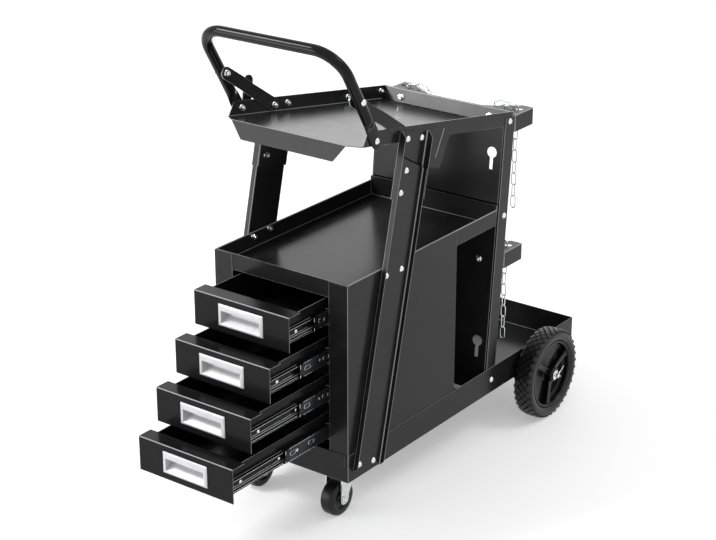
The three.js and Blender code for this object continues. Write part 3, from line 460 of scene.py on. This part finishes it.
def tray_gussets():
    """Hanging corners of the tray's walls behind the struts, with the rear edges of their plates painted pale
    as a highlight.
    """
    form = bmesh.new()
    for _, s in SIDES:
        slab(form, GUSSET, SHELF_OUT - 1.4, SHELF_OUT - 0.1, lambda along, up, x: on_tray(s * x, along, up))
    painted_highlight = form.faces.layers.float.new(HIGHLIGHT_MARK)
    walls = set(form.faces)
    for _, s in SIDES:
        tube(form, [on_tray(s * (SHELF_OUT + 1.2), along, up) for along, up in GUSSET_EDGE], EDGE_R, 8,
             normal=Vector((1, 0, 0)))
    # the edge tubes get the pale painted highlight
    for face in form.faces:
        face[painted_highlight] = 0.0 if face in walls else 1.0
    dress("tray_gussets", form, "black_powder_coat", FRAME_BODY)


def strut_joints():
    """Painted shade: dark strips on the upper struts above the slanted top edges of the lower struts."""
    form = bmesh.new()
    (near, high), (far, low) = STRUT_JOINT
    gap = ((near, high), (far, low), (far, low + STRUT_GAP), (near, high + STRUT_GAP))
    for _, s in SIDES:
        slab(form, gap, UPPER_STRUT_FACE, UPPER_STRUT_FACE + 0.25, lambda u, up, x: on_strut(s * x, u, up))
    dress("strut_joint_shade_strips", form, "black_powder_coat", FRAME_BODY, finish=GAP_SHADE)


def bend_slots():
    """Row of short slots pressed along the tray's rear bend, drawn as flat dark dashes on its floor: painted
    shade for their depth.
    """
    form = bmesh.new()
    for x in BEND_SLOTS:
        slab(form, rounded(15, 6, 2.5, 3), 0.05, 0.35,
             lambda u, v, w: on_tray(x + u, BEND_SLOT_Y + v, w))
    dress("tray_bend_slots", form, "black_powder_coat", FRAME_BODY, finish=GAP_SHADE)


def rear_apron():
    """Leaning sheet between the tray's floor and the top of its rear wall."""
    form = bmesh.new()
    half = WALL_INSIDE - 1
    painted_highlight = form.faces.layers.float.new(HIGHLIGHT_MARK)
    section = ((APRON_FOOT, 0.1), (APRON_FOOT + 0.8, 0.1), (APRON_TOP + 0.8, APRON_RISE),
               (APRON_TOP, APRON_RISE), (APRON_TOP - 0.6, APRON_RISE - 1.6))
    slab(form, section, -half, half, lambda along, up, x: on_tray(x, along, up))
    # the top edge gets the pale painted highlight
    for face in sorted(form.faces, key=lambda face: face.calc_center_median().z)[-2:]:
        face[painted_highlight] = 1.0
    dress("tray_rear_apron", form, "black_powder_coat", FRAME_BODY)


def on_panel(x, up, back):
    """A point measured up the lean of the rear panels and back from the plane at their foot."""
    y, z = PANEL_FOOT
    return at(x, y + up * sin(REAR_LEAN) + back * cos(REAR_LEAN),
              z + up * cos(REAR_LEAN) - back * sin(REAR_LEAN))


def seam_strip():
    """Strip behind the joint of the two rear panels."""
    form = bmesh.new()
    slab(form, rounded(2 * POST_FACE - 8, 14, 1, 2), SEAM_BACK, SEAM_BACK + 0.8,
         lambda u, v, w: on_panel(u, SEAM_UP + v, w))
    dress("rear_seam_strip", form, "black_powder_coat", FRAME_BODY)


def shelf_edges():
    """Rolled top edges of the shelf's side walls, painted pale all over as a highlight."""
    form = bmesh.new()
    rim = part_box("middle_shelf")[1].z / MM - SHELF_REAR_RISE
    for _, s in SIDES:
        tube(form, [at(s * (SHELF_OUT - 0.7), y, rim - 0.5) for y in SHELF_RUN], ROLL_R, 8)
    painted_highlight = form.faces.layers.float.new(HIGHLIGHT_MARK)
    for face in form.faces:
        face[painted_highlight] = 1.0
    dress("shelf_rolled_edges", form, "black_powder_coat", FRAME_BODY)


def shelf_joint():
    """Painted shade: a dark strip on the upper rear panel where the shelf's rear wall meets it."""
    form = bmesh.new()
    half = POST_FACE - 4
    top = (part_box("middle_shelf")[1].z / MM - PANEL_FOOT[1]) / cos(REAR_LEAN)
    low, high = top - 4, top + 1.5
    gap = ((-half, low), (half, low), (half, high), (-half, high))
    slab(form, gap, PANEL_FACE - 0.5, PANEL_FACE - 0.2, on_panel)
    dress("shelf_joint_shade_strip", form, "black_powder_coat", FRAME_BODY, finish=GAP_SHADE)


def ease_edges(form, size):
    """Round every sharp edge of a pressed piece."""
    edges = [edge for edge in form.edges if edge.is_manifold and edge.calc_face_angle(0) > radians(60)]
    bmesh.ops.bevel(form, geom=edges, offset=size * MM, offset_type="OFFSET", segments=2, profile=0.5,
                    affect="EDGES", clamp_overlap=True)


def cable_hook_strip():
    """Strip on the left wall of the tray, turned out and up to a round end."""
    wall, tip, thick = -HOOK_WALL, -HOOK_WALL - HOOK_OUT, HOOK_SHEET
    low, high = HOOK_LEAF
    form = bmesh.new()
    foot = ((wall, low), (wall, high), (wall - thick, high), (wall - thick, thick), (tip, thick), (tip, 0),
            (wall - thick, 0), (wall - thick, low))
    slab(form, foot, HOOK_Y - HOOK_HALF, HOOK_Y + HOOK_HALF, lambda x, up, along: on_tray(x, along, up))
    round_end = [(HOOK_HALF * cos(step * pi / 12), HOOK_HALF * sin(step * pi / 12)) for step in range(13)]
    blade = [(HOOK_HALF, 0.5)] + [(u, HOOK_RISE - HOOK_HALF + v) for u, v in round_end] + [(-HOOK_HALF, 0.5)]
    slab(form, blade, tip, tip + thick, lambda u, up, x: on_tray(x, HOOK_Y + u, up))
    ease_edges(form, 0.6)
    even_normals(dress("cable_hook_strip", form, "black_powder_coat", FRAME_BODY, "cable_hook"))


def dome_head(form, spot, way):
    """Domed bolt head with its flange on the sheet."""
    turned(form, DOME, spot, way, 20)


def flange_nut(form, spot, way):
    """Flange nut with the end of its bolt."""
    turned(form, NUT_FLANGE, spot, way, 20)
    turned(form, NUT, spot, way, 6)
    turned(form, BOLT_END, spot, way, 12)


HEADS = (
    (STRUT_FACE, 34.8, 139.5), (STRUT_FACE, 82.1, 129.4), (STRUT_FACE, 123.7, 519.2),
    (STRUT_FACE, 175.3, 518), (STRUT_FACE, 188.7, 720.3), (STRUT_FACE, 170.5, 679.1),
    (UPPER_STRUT_FACE, 198.1, 781.9), (UPPER_STRUT_FACE, 246, 772.5), (HANDLE_X + FLAT_HALF, *HANDLE_FOOT),
    (POST_FACE, 571.5, 724), (POST_FACE, 558.2, 516.4), (BASE_HALF, 524.7, 141.3),
)
NUTS = (
    (HANDLE_X - 13.8, 38.4, 895.9), (WALL_INSIDE, 92.5, 810.3), (WALL_INSIDE - 2.8, 192, 792.5),
    (WALL_INSIDE, 237.2, 785.6), (WALL_INSIDE, 565.4, 732.7), (WALL_INSIDE, 444.2, 748),
    (SHELF_OUT + 0.3, 167.8, 690.6), (WALL_INSIDE, 119.3, 526.8), (WALL_INSIDE, 171.5, 529.2),
    (BASE_HALF - SHEET, 34.8, 139.5), (BASE_HALF - SHEET, 82.1, 129.4), (BASE_HALF - SHEET, 545, 141.3),
)


def frame_fasteners():
    """All bolts of the fixed frame."""
    form = bmesh.new()
    for _, s in SIDES:
        out = Vector((s, 0, 0))
        for x, y, z in HEADS:
            dome_head(form, at(s * x, y, z), out)
        for x, y, z in NUTS:
            flange_nut(form, at(s * x, y, z), -out)
        x, up = BRACE_BOLT
        dome_head(form, on_handle(s * (HANDLE_X + x), up), out)
        ahead = (on_tray(0, -APRON_RISE, APRON_TOP - APRON_FOOT) - on_tray(0, 0, 0)).normalized()
        x, up = APRON_NUT
        flange_nut(form, on_tray(s * x, APRON_FOOT + (APRON_TOP - APRON_FOOT) * up / APRON_RISE, up), ahead)
        lean = Vector((0, -cos(REAR_LEAN), sin(REAR_LEAN)))
        x, up = PANEL_NUT
        flange_nut(form, on_panel(s * x, up, 0) + Vector((0, PANEL_FACE * MM, 0)), lean)
    dress("frame_fasteners", form, "zinc_plate", FRAME_BODY)


frame_fasteners()
cable_hook_strip()
rear_apron()
bend_slots()
tray_gussets()
strut_joints()
shelf_joint()
shelf_edges()
seam_strip()


# Handle: one bent tube, pressed flat where it is bolted to the tray
def handle_tube():
    """Two legs, two bends and a grip, lofted from flat ends to round tube."""
    reach = HANDLE_X - BEND_R
    legs = [-FLAT_END, -15.2, -13, -9, -4, 2, 12, 24, FLAT_TOP]
    legs += [FLAT_TOP + TAPER * step / 10 for step in range(1, 11)] + [70, 100, 135]
    half = [(-HANDLE_X, z) for z in legs]
    for step in range(19):
        angle = step * pi / 36
        half.append((-reach - BEND_R * cos(angle), GRIP_UP - BEND_R * (1 - sin(angle))))
    route = half + [(-x, z) for x, z in reversed(half)]
    depth = Vector((0, cos(HANDLE_LEAN), sin(HANDLE_LEAN)))
    rings = []
    for step, (x, z) in enumerate(route):
        (x0, z0), (x1, z1) = route[max(step - 1, 0)], route[min(step + 1, len(route) - 1)]
        run = (on_handle(x1, z1) - on_handle(x0, z0)).normalized()
        side = run.cross(depth)
        share = min(max((z - FLAT_TOP) / TAPER, 0), 1)
        share = share * share * (3 - 2 * share)
        flat = FLAT_END * sqrt(max(1 - 0.93 * (min(z, 0) / FLAT_END) ** 2, 0))
        thick = FLAT_HALF + (TUBE_R - FLAT_HALF) * share
        wide = flat + (TUBE_R - flat) * share
        angles = [2 * pi * turn / 28 for turn in range(28)]
        rings.append([on_handle(x, z) + (side * (cos(a) * thick) + depth * (sin(a) * wide)) * MM
                      for a in angles])
    form = bmesh.new()
    loft(form, rings)
    dress("handle_tube", form, "black_powder_coat", FRAME_BODY, "handle_bar", crease=50, finish=HANDLE_COAT)


handle_tube()

# Drawers: pulls, slide members and their screws. Each row gives the drawer's top edge, how far it stands out,
# the front end of its middle slide members and their rivet behind that
DRAWERS = ((499, 118, -41, 63), (415, 178, -86, 63), (333, 237, -89, 63), (249.5, 292, -135, 37))
SLIDE_DROP = 40  # slide centre below the drawer's top edge
INNER_FACE = 108.9
INNER_TIP = 115.5
RUNNER_FACE = 119.6
RUNNER_LENGTH = 300
RUNNER_HIGHLIGHTS = 13.7  # bright zinc lines along the edges, above and below the slide's centre: painted highlights
RUNNER_SLOTS = (14, 72)  # stamped slots, behind the front end, drawn as bright zinc outlines: painted highlights on their rims
CAP_LENGTH = 12
CAP_RIBS = (-8, 8)
SLIDE_SCREWS = (33.5, 150)  # behind the drawer's front
# bright zinc lines on the inner members, at these x and z: painted highlights
RACEWAY_HIGHLIGHTS = ((INNER_TIP, 11), (INNER_TIP, -11), (INNER_FACE, -5.5))


def channel_section(face, tip, half, sheet, corner=3.0):
    """Rolled channel that opens towards the drawer, as (x, z) pairs."""
    outer, inner = [], []
    near = corner - sheet
    for z in (-1, 1):
        bend = [step * pi / 6 for step in ((0, 1, 2, 3) if z < 0 else (3, 2, 1, 0))]
        arc = [(face - corner + corner * sin(a), z * (half - corner + corner * cos(a))) for a in bend]
        core = [(face - corner + near * sin(a), z * (half - corner + near * cos(a))) for a in bend]
        outer += [(tip, z * half)] + arc if z < 0 else arc + [(tip, z * half)]
        inner += [(tip, z * (half - sheet))] + core if z < 0 else core + [(tip, z * (half - sheet))]
    return outer + inner[::-1]


def runner_member(side, s, number, top, front, rivet):
    """Middle slide member with its rivet and moulded end cap. Bright zinc lines along its edges, round its
    stamped slots and on the cap's front are painted highlights and glints.
    """
    node = f"{side}_runner_{number}"
    body = BODIES[node]
    centre = top - SLIDE_DROP
    section = channel_section(RUNNER_FACE, tip=110, half=14.6, sheet=1.2)
    form = bmesh.new()
    slab(form, section, front + CAP_LENGTH - 1, front + RUNNER_LENGTH,
         lambda x, z, y: at(s * x, y, centre + z))
    dress(f"{node}_member", form, "black_zinc_slide", body, node, crease=50)
    cap = bmesh.new()
    sleeve = channel_section(RUNNER_FACE + 0.2, tip=111, half=14.8, sheet=1.6, corner=3.4)
    slab(cap, sleeve, front, front + CAP_LENGTH, lambda x, z, y: at(s * x, y, centre + z))
    for z in CAP_RIBS:
        path = [at(s * (RUNNER_FACE + 0.1), front + 2 + step, centre + z) for step in range(0, 9, 2)]
        tube(cap, path, 0.5, 6)
    dress(f"{node}_end_cap", cap, "black_polymer", body, crease=50)
    bright = bmesh.new()
    turned(bright, RIVET, at(s * RUNNER_FACE, front + rivet, centre + 2), Vector((s, 0, 0)), 16)
    for start in RUNNER_SLOTS:
        path = [at(s * (RUNNER_FACE - 0.1), front + start + 9 + u, centre + 2 + v)
                for u, v in rounded(18, 8, 4, 5)]
        tube(bright, path, 0.45, 6, closed=True, normal=Vector((1, 0, 0)))
    for z in (-RUNNER_HIGHLIGHTS, RUNNER_HIGHLIGHTS):
        path = [at(s * (RUNNER_FACE - 0.9), front + CAP_LENGTH + 70 * step, centre + z) for step in range(5)]
        tube(bright, path, 0.45, 6)
    # two short bright tabs on the cap's front: painted glints
    for low, high in ((-13.5, -8), (5, 13.5)):
        tube(bright, [at(s * RUNNER_FACE, front + 0.8, centre + z) for z in (low, high)], 0.55, 6,
             normal=Vector((1, 0, 0)))
    dress(f"{node}_bright_edges", bright, "zinc_plate", body)


def slide_fittings(number, top, front):
    """Screws of the members on one drawer, and bright zinc lines along them: painted highlights."""
    body = BODIES[f"drawer_{number}"]
    centre = top - SLIDE_DROP
    form = bmesh.new()
    for _, s in SIDES:
        for back in SLIDE_SCREWS:
            turned(form, SCREW, at(s * INNER_FACE, front + back, centre - 1), Vector((s, 0, 0)), 16)
        for x, z in RACEWAY_HIGHLIGHTS:
            path = [at(s * x, front + 6 + 110 * step, centre + z) for step in range(4)]
            tube(form, path, 0.5, 8)
    dress(f"drawer_{number}_slide_fittings", form, "zinc_plate", body)


for number, (top, reach, runner_front, rivet) in enumerate(DRAWERS, 1):
    sheet_piece(f"drawer_pull_{number}", fold=0, rim=0.9)
    slide_fittings(number, top, -reach)
    for side, s in SIDES:
        runner_member(side, s, number, top, runner_front, rivet)

# Rear wheels
WHEEL_R = 104
WHEEL_SPOT = (205, 698, WHEEL_R)
TYRE_SIDE = ((79, 17), (80, 19.5), (84, 21.8), (90, 23), (94, 22.6), (97, 21.4), (98.2, 19.5), (98.4, 15))
TREAD_R = 98
CROWN = (2.5, 21)  # drop of the knobs at this distance from the tyre's middle
KNOBS = 36
KNOB_HEIGHT = 1.45  # for each unit of lift
KNOB_ROW = 8.1  # rows of knobs, across the tread
KNOB_TIERS = ((0.8, 0), (0.76, 3.4), (0.68, 4), (0.4, 4.1))  # size and lift of a knob's rings
DIAMOND = ((1, 0), (0.56, 0.56), (0, 1), (-0.56, 0.56), (-1, 0), (-0.56, -0.56), (0, -1), (0.56, -0.56))
RIM_SIDE = (
    (5.4, 25), (15, 25), (16.5, 24), (17, 22.5), (17, 9), (18.5, 6), (22, 4.4), (60, 4), (68, 5), (71, 8),
    (71.6, 16), (72.4, 18.4), (74, 19.4), (77, 19.4), (78.4, 18.2), (78.7, 16),
)
SPOKE_ANGLES = (24, 144, 264)
RIB = ((14, 8, 17), (26, 6.2, 15.5), (45, 5.6, 15), (62, 6.2, 15), (70, 8.5, 15.6), (72.5, 11, 16))
PIN_X = 235  # along the axle
WASHER = ((5.4, -1), (10.5, -1), (11, -0.6), (11, 0.6), (10.5, 1), (5.4, 1))
PIN_EYE = (
    (-9, 0.8), (-11, 2.4), (-13.2, 2.7), (-14.6, 1.4), (-14.6, -1.4), (-13.2, -2.7), (-11, -2.4), (-9, -0.8),
)
PIN_LEGS = ((1, 26, 0.6), (-1, 14, 0.75))  # way, length and bend of each leg


def two_sided(half):
    """Close a profile that is the same on both sides of a wheel."""
    return list(half) + [(radius, -height) for radius, height in reversed(half)]


def tread_spot(centre, angle, along, radius):
    """A point on the tread, turned by angle and along the axle from the tyre's middle."""
    return centre + Vector((along * MM, radius * cos(angle) * MM, radius * sin(angle) * MM))


def tyre_piece(side, s):
    """Solid tyre with five staggered rows of diamond knobs between smooth side walls."""
    x, y, z = WHEEL_SPOT
    centre = at(s * x, y, z)
    form = bmesh.new()
    turned(form, two_sided(TYRE_SIDE), centre, Vector((1, 0, 0)), 96)
    pitch = 2 * pi / KNOBS
    drop, edge = CROWN
    for row in range(-2, 3):
        for count in range(KNOBS):
            middle = (count + 0.5 * (row % 2)) * pitch
            rings = []
            for size, lift in KNOB_TIERS:
                corners = []
                for u, v in DIAMOND:
                    along = (row + size * v) * KNOB_ROW
                    crown = drop * (along / edge) ** 4
                    corners.append(tread_spot(centre, middle + size * u * pitch / 2, along,
                                              TREAD_R + lift * KNOB_HEIGHT - crown * lift / 4))
                rings.append(corners)
            loft(form, rings)
    dress(f"{side}_tyre", form, "tyre_rubber", BODIES[f"{side}_rear_tyre"], f"{side}_rear_tyre", crease=40)


def rim_piece(side, s):
    """Dished rim: deep barrel, web, hub and three broad ribs."""
    x, y, z = WHEEL_SPOT
    centre = at(s * x, y, z)
    form = bmesh.new()
    turned(form, two_sided(RIM_SIDE), centre, Vector((1, 0, 0)), 72)
    for degrees in SPOKE_ANGLES:
        angle = radians(degrees)
        out = Vector((0, cos(angle), sin(angle)))
        side_way = Vector((0, -sin(angle), cos(angle)))
        rings = []
        for radius, wide, deep in RIB:
            rings.append([centre + out * (radius * MM) + side_way * (u * MM) + Vector((v * MM, 0, 0))
                          for u, v in rounded(2 * wide, 2 * deep, 1.6, 3)])
        loft(form, rings)
    dress(f"{side}_rim", form, "black_polymer", BODIES[f"{side}_wheel_rim"], f"{side}_wheel_rim", crease=40)


def axle_end(side, s):
    """Washer and split pin that hold a wheel on the axle."""
    _, y, z = WHEEL_SPOT
    out = Vector((s, 0, 0))
    low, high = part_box(f"{side}_axle_washer")
    washer = bmesh.new()
    turned(washer, WASHER, (low + high) / 2, out, 32)
    dress(f"{side}_washer", washer, "zinc_plate", BODIES[f"{side}_axle_washer"], f"{side}_axle_washer")
    pin = bmesh.new()
    for way, leg, tilt in PIN_LEGS:
        loop = [spot for spot in PIN_EYE if spot[1] * way > 0]
        if way < 0:
            loop = loop[::-1]
        loop = loop[::-1] + [(-6, way * 0.75), (0, way * 0.7), (6.5, way * 0.75)]
        for step in range(1, 7):
            bent = min(step / 3, 1) * tilt
            last = loop[-1]
            loop.append((last[0] + leg / 6 * cos(bent), last[1] + way * leg / 6 * sin(bent)))
        tube(pin, [at(s * PIN_X, y + u, z + v) for u, v in loop], 1.1, 8, normal=Vector((1, 0, 0)))
    dress(f"{side}_cotter", pin, "zinc_plate", BODIES[f"{side}_split_pin"], f"{side}_split_pin", crease=60)


for side, s in SIDES:
    tyre_piece(side, s)
    rim_piece(side, s)
    axle_end(side, s)

# Front casters
CASTER_SPOT = (104, 48, 39)
CASTER_SIDE = (
    (4.4, 14.5), (10, 14.5), (11, 14), (12.4, 11), (14, 10.5), (21, 10.5), (22.6, 11.2), (24, 15), (25, 15.5),
    (30, 15.2), (30.6, 14.6), (31.4, 14.6), (32, 15.1), (36, 14.2), (38, 12), (38.8, 9), (39, 5),
)
SWIVEL_Y = 72
FORK_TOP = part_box("right_caster_fork")[1].z / MM
FORK_CHEEK = (
    (36, 41), (40, FORK_TOP - 3), (94, FORK_TOP - 3), (94, FORK_TOP - 10), (66, 54), (62.5, 46), (61.5, 37),
    (58, 30.5), (52, 27), (45, 27), (39, 30.5), (36.5, 35),
)
CHEEK_INSIDE, CHEEK_OUTSIDE = 18.5, 21
BRIDGE_Y = 69
FORK_CROWN = ((6.6, -4), (18, -4), (21, -3), (21, -1), (19, 0), (6.6, 0))
AXLE_BAR = ((0, -22.5), (4, -22.5), (4, 22.5), (0, 22.5))
AXLE_FLANGE = ((0, -0.2), (8.2, -0.2), (8.2, 0.6), (6.8, 1.2), (0, 1.2))
AXLE_NUT = ((0, 1), (6.6, 1), (7, 1.5), (7, 4), (6.2, 4.5), (0, 4.5))
PLATE_BOLT = ((0, -0.2), (5, -0.2), (5, 0.4), (4.4, 2.2), (2.5, 3), (0, 3.1))
PLATE_UNDER = 107.2  # underside of the caster plate


def fork_piece(side, s):
    """Pressed fork: broad cheeks with round ends below a flat bridge and a swivel crown."""
    x = s * CASTER_SPOT[0]
    form = bmesh.new()
    for way in (1, -1):
        slab(form, FORK_CHEEK, way * CHEEK_INSIDE, way * CHEEK_OUTSIDE, lambda u, v, w: at(x + w, u, v))
    slab(form, rounded(2 * CHEEK_OUTSIDE, 50, 3), FORK_TOP - 5, FORK_TOP - 2,
         lambda u, v, w: at(x + u, BRIDGE_Y + v, w))
    turned(form, FORK_CROWN, at(x, SWIVEL_Y, FORK_TOP), Vector((0, 0, 1)), 36)
    ease_edges(form, 0.5)
    node = f"{side}_caster_fork"
    even_normals(dress(f"{side}_fork", form, "zinc_plate", BODIES[node], node))


def caster(side, s):
    """One caster: wheel, fork, plate, axle bolt and plate bolts."""
    x, y, z = CASTER_SPOT
    centre = at(s * x, y, z)
    out = Vector((s, 0, 0))
    wheel = bmesh.new()
    turned(wheel, two_sided(CASTER_SIDE), centre, out, 64)
    node = f"{side}_caster_wheel"
    dress(f"{side}_caster_tread", wheel, "caster_rubber", BODIES[node], node, crease=45)
    fork_piece(side, s)
    sheet_piece(f"{side}_caster_plate", fold=0, rim=0.5)
    axle = bmesh.new()
    turned(axle, AXLE_BAR, centre, out, 20)
    for way in (1, -1):
        face = centre + out * (way * (CHEEK_OUTSIDE + 0.5) * MM)
        turned(axle, AXLE_FLANGE, face, out * way, 24)
        turned(axle, AXLE_NUT, face, out * way, 6)
    dress(f"{side}_caster_bolt", axle, "zinc_plate", BODIES[f"{side}_caster_axle"], f"{side}_caster_axle")
    studs = bmesh.new()
    for u in (-24, 24):
        for v in (-19, 19):
            spot = at(s * (x + u), SWIVEL_Y + v, PLATE_UNDER)
            turned(studs, PLATE_BOLT, spot, Vector((0, 0, -1)), 16)
    dress(f"{side}_caster_plate_bolts", studs, "zinc_plate", BODIES[f"{side}_caster_plate"])


for side, s in SIDES:
    caster(side, s)

# Chains: welded long links
LINK_END = 14
LINK_HALF = 5.5
LINK_STEP = 26
WIRE = 1.35  # radius of the wire
SLOT_X = 142
SLOT_PLAY = 4  # the drape ends this far inside each slot
ANCHOR_DROP = 5  # middle of the link in a slot, below the horn's top
TAIL_LIFT = 1.3  # the first loose link bears in the one in the slot
DRAPE_LINKS, TAIL_LINKS = 13, 8
DRAPE_HALF = 95  # half of the hanging part
DRAPE_TOP = 10.5  # its ends, above the horn's top
DRAPE_FALL = 5.5  # from there to the slots
HORNS = (("upper", 636.9, 732), ("lower", 609.9, 428.5))  # level, Y and Z of the horns' top


def link_wire(form, middle, heading, wide):
    """One link: wire bent round at both ends and closed."""
    straight = LINK_END - LINK_HALF
    loop = []
    for way in (1, -1):
        for step in range(9):
            angle = step * pi / 8
            loop.append((way * LINK_HALF * cos(angle), way * (straight + LINK_HALF * sin(angle))))
    path = [middle + (wide * u + heading * v) * MM for u, v in loop]
    tube(form, path, WIRE, 10, closed=True, normal=wide.cross(heading))


def run_of_links(form, spots, flat_first):
    """Links from spot to spot, every other one turned a quarter."""
    for step in range(len(spots) - 1):
        heading = (spots[step + 1] - spots[step]).normalized()
        level = Vector((0, 1, 0))
        flat = (step % 2 == 0) == flat_first
        link_wire(form, (spots[step] + spots[step + 1]) / 2, heading, level if flat else level.cross(heading))


def drape_height(x, sag):
    """Height of the drape above the horns: it hangs in the middle and falls to the slots at both ends."""
    over = abs(x) - DRAPE_HALF
    if over > 0:
        return DRAPE_TOP - DRAPE_FALL * over / (SLOT_X - DRAPE_HALF)
    return DRAPE_TOP - sag * (1 - (x / DRAPE_HALF) ** 2)


def drape_spots(sag):
    """Step off the drape from its left end, one link at a time."""
    start = SLOT_PLAY - SLOT_X
    spots = [(start, drape_height(start, sag))]
    for _ in range(DRAPE_LINKS):
        x0, z0 = spots[-1]
        near, far = 0, LINK_STEP
        for _ in range(30):
            half = (near + far) / 2
            short = hypot(half, drape_height(x0 + half, sag) - z0) < LINK_STEP
            near, far = (half, far) if short else (near, half)
        spots.append((x0 + near, drape_height(x0 + near, sag)))
    return spots


def chain_pieces(level, y, top):
    """Drape with the links in both slots, and the loose end below the right one."""
    low, high = 0, 200
    for _ in range(30):
        sag = (low + high) / 2
        low, high = (sag, high) if drape_spots(sag)[-1][0] > SLOT_X - SLOT_PLAY else (low, sag)
    form = bmesh.new()
    run_of_links(form, [at(x, y, top + z) for x, z in drape_spots(low)], True)
    for _, s in SIDES:
        link_wire(form, at(s * SLOT_X, y, top - ANCHOR_DROP), Vector((0, 0, 1)), Vector((1, 0, 0)))
    node = f"{level}_chain_drape"
    dress(f"{level}_chain_links", form, "zinc_plate", BODIES[node], node, crease=60)
    end = bmesh.new()
    start = top - ANCHOR_DROP + LINK_STEP / 2 + TAIL_LIFT
    spots = [at(SLOT_X, y, start - LINK_STEP * (step + 1)) for step in range(TAIL_LINKS + 1)]
    run_of_links(end, spots, True)
    node = f"{level}_chain_tail"
    dress(f"{level}_chain_end_links", end, "zinc_plate", BODIES[node], node, crease=60)


for level, y, top in HORNS:
    chain_pieces(level, y, top)

# Camera at the photograph's place
CAMERA_SPOT = at(2140.65, -2611.92, 1893.53)
CAMERA_AIM = Vector((-0.55398, 0.74349, -0.37461))
LENS = 92.99
camera = bpy.data.objects.new("camera", bpy.data.cameras.new("camera"))
camera.location = CAMERA_SPOT
camera.rotation_euler = CAMERA_AIM.to_track_quat("-Z", "Y").to_euler()
camera.data.lens = LENS
camera.data.sensor_width = 36
scene.collection.objects.link(camera)
scene.camera = camera
scene.view_settings.view_transform = "Standard"


# Studio
FLOOR_LIFT = 0.3
FLOOR_REACH = 14


def looked_at(tree):
    """1 for rays that show a surface: straight, mirrored or through glass."""
    rays = add(tree, "ShaderNodeLightPath", {})
    direct = add(tree, "ShaderNodeMath", {"operation": "MAXIMUM"})
    tree.links.new(rays.outputs["Is Camera Ray"], direct.inputs[0])
    tree.links.new(rays.outputs["Is Glossy Ray"], direct.inputs[1])
    shown = add(tree, "ShaderNodeMath", {"operation": "MAXIMUM"})
    tree.links.new(direct.outputs["Value"], shown.inputs[0])
    tree.links.new(rays.outputs["Is Transmission Ray"], shown.inputs[1])
    return shown


def white_room():
    """White dome: full white where it is looked at, a little less as light."""
    world = bpy.data.worlds.new("white_room")
    world.use_nodes = True
    tree = world.node_tree
    tree.nodes.clear()
    light = add(tree, "ShaderNodeBackground", {"Color": (1, 1, 1, 1), "Strength": 0.62})
    shown = add(tree, "ShaderNodeBackground", {"Color": (1, 1, 1, 1), "Strength": 1.0})
    both = add(tree, "ShaderNodeMixShader", {}, {"Fac": looked_at(tree).outputs["Value"]})
    tree.links.new(light.outputs["Background"], both.inputs[1])
    tree.links.new(shown.outputs["Background"], both.inputs[2])
    add(tree, "ShaderNodeOutputWorld", {}, {"Surface": both.outputs["Shader"]})
    return world


def softbox(name, spot, aim, size, power):
    """Round lamp that faces aim."""
    lamp = bpy.data.lights.new(name, "AREA")
    lamp.shape = "DISK"
    lamp.size = size
    lamp.energy = power
    holder = bpy.data.objects.new(name, lamp)
    holder.location = spot
    holder.rotation_euler = (aim - spot).to_track_quat("-Z", "Y").to_euler()
    scene.collection.objects.link(holder)


def studio_floor():
    """Pale seamless paper, lifted to white where it is looked at, with the shadow left on it."""
    mesh = bpy.data.meshes.new("studio_floor")
    reach = FLOOR_REACH
    mesh.from_pydata([(-reach, -reach, 0), (reach, -reach, 0), (reach, reach, 0), (-reach, reach, 0)], [],
                     [(0, 1, 2, 3)])
    floor = bpy.data.objects.new("studio_floor", mesh)
    material, tree, shader, place = new_finish("studio_paper", {
        "Roughness": 0.9, "Specular IOR Level": 0.1, "Emission Color": (1, 1, 1, 1)})
    mottle(tree, shader, place, 400, "#f6f6f6", "#f8f8f8")
    lift = add(tree, "ShaderNodeMath", {"operation": "MULTIPLY"})
    tree.links.new(looked_at(tree).outputs["Value"], lift.inputs[0])
    lift.inputs[1].default_value = FLOOR_LIFT
    tree.links.new(lift.outputs["Value"], shader.inputs["Emission Strength"])
    mesh.materials.append(material)
    scene.collection.objects.link(floor)


scene.world = white_room()
middle = at(0, 290, 450)
softbox("key", middle + Vector((-0.55, -0.5, 0.67)) * 3.6, middle, 1.0, 60)
softbox("fill", at(2300, -1300, 2500), middle, 2.6, 6)
softbox("side", middle + Vector((0.55, 0.35, 0.75)) * 3.6, middle, 1.2, 22)
softbox("front_left", middle + Vector((-0.57, -0.82, 0.15)) * 3.6, middle, 2.0, 44)
softbox("back_panel", middle + Vector((-0.55, 0.8, 0.3)) * 4, middle, 3.0, 16)
studio_floor()
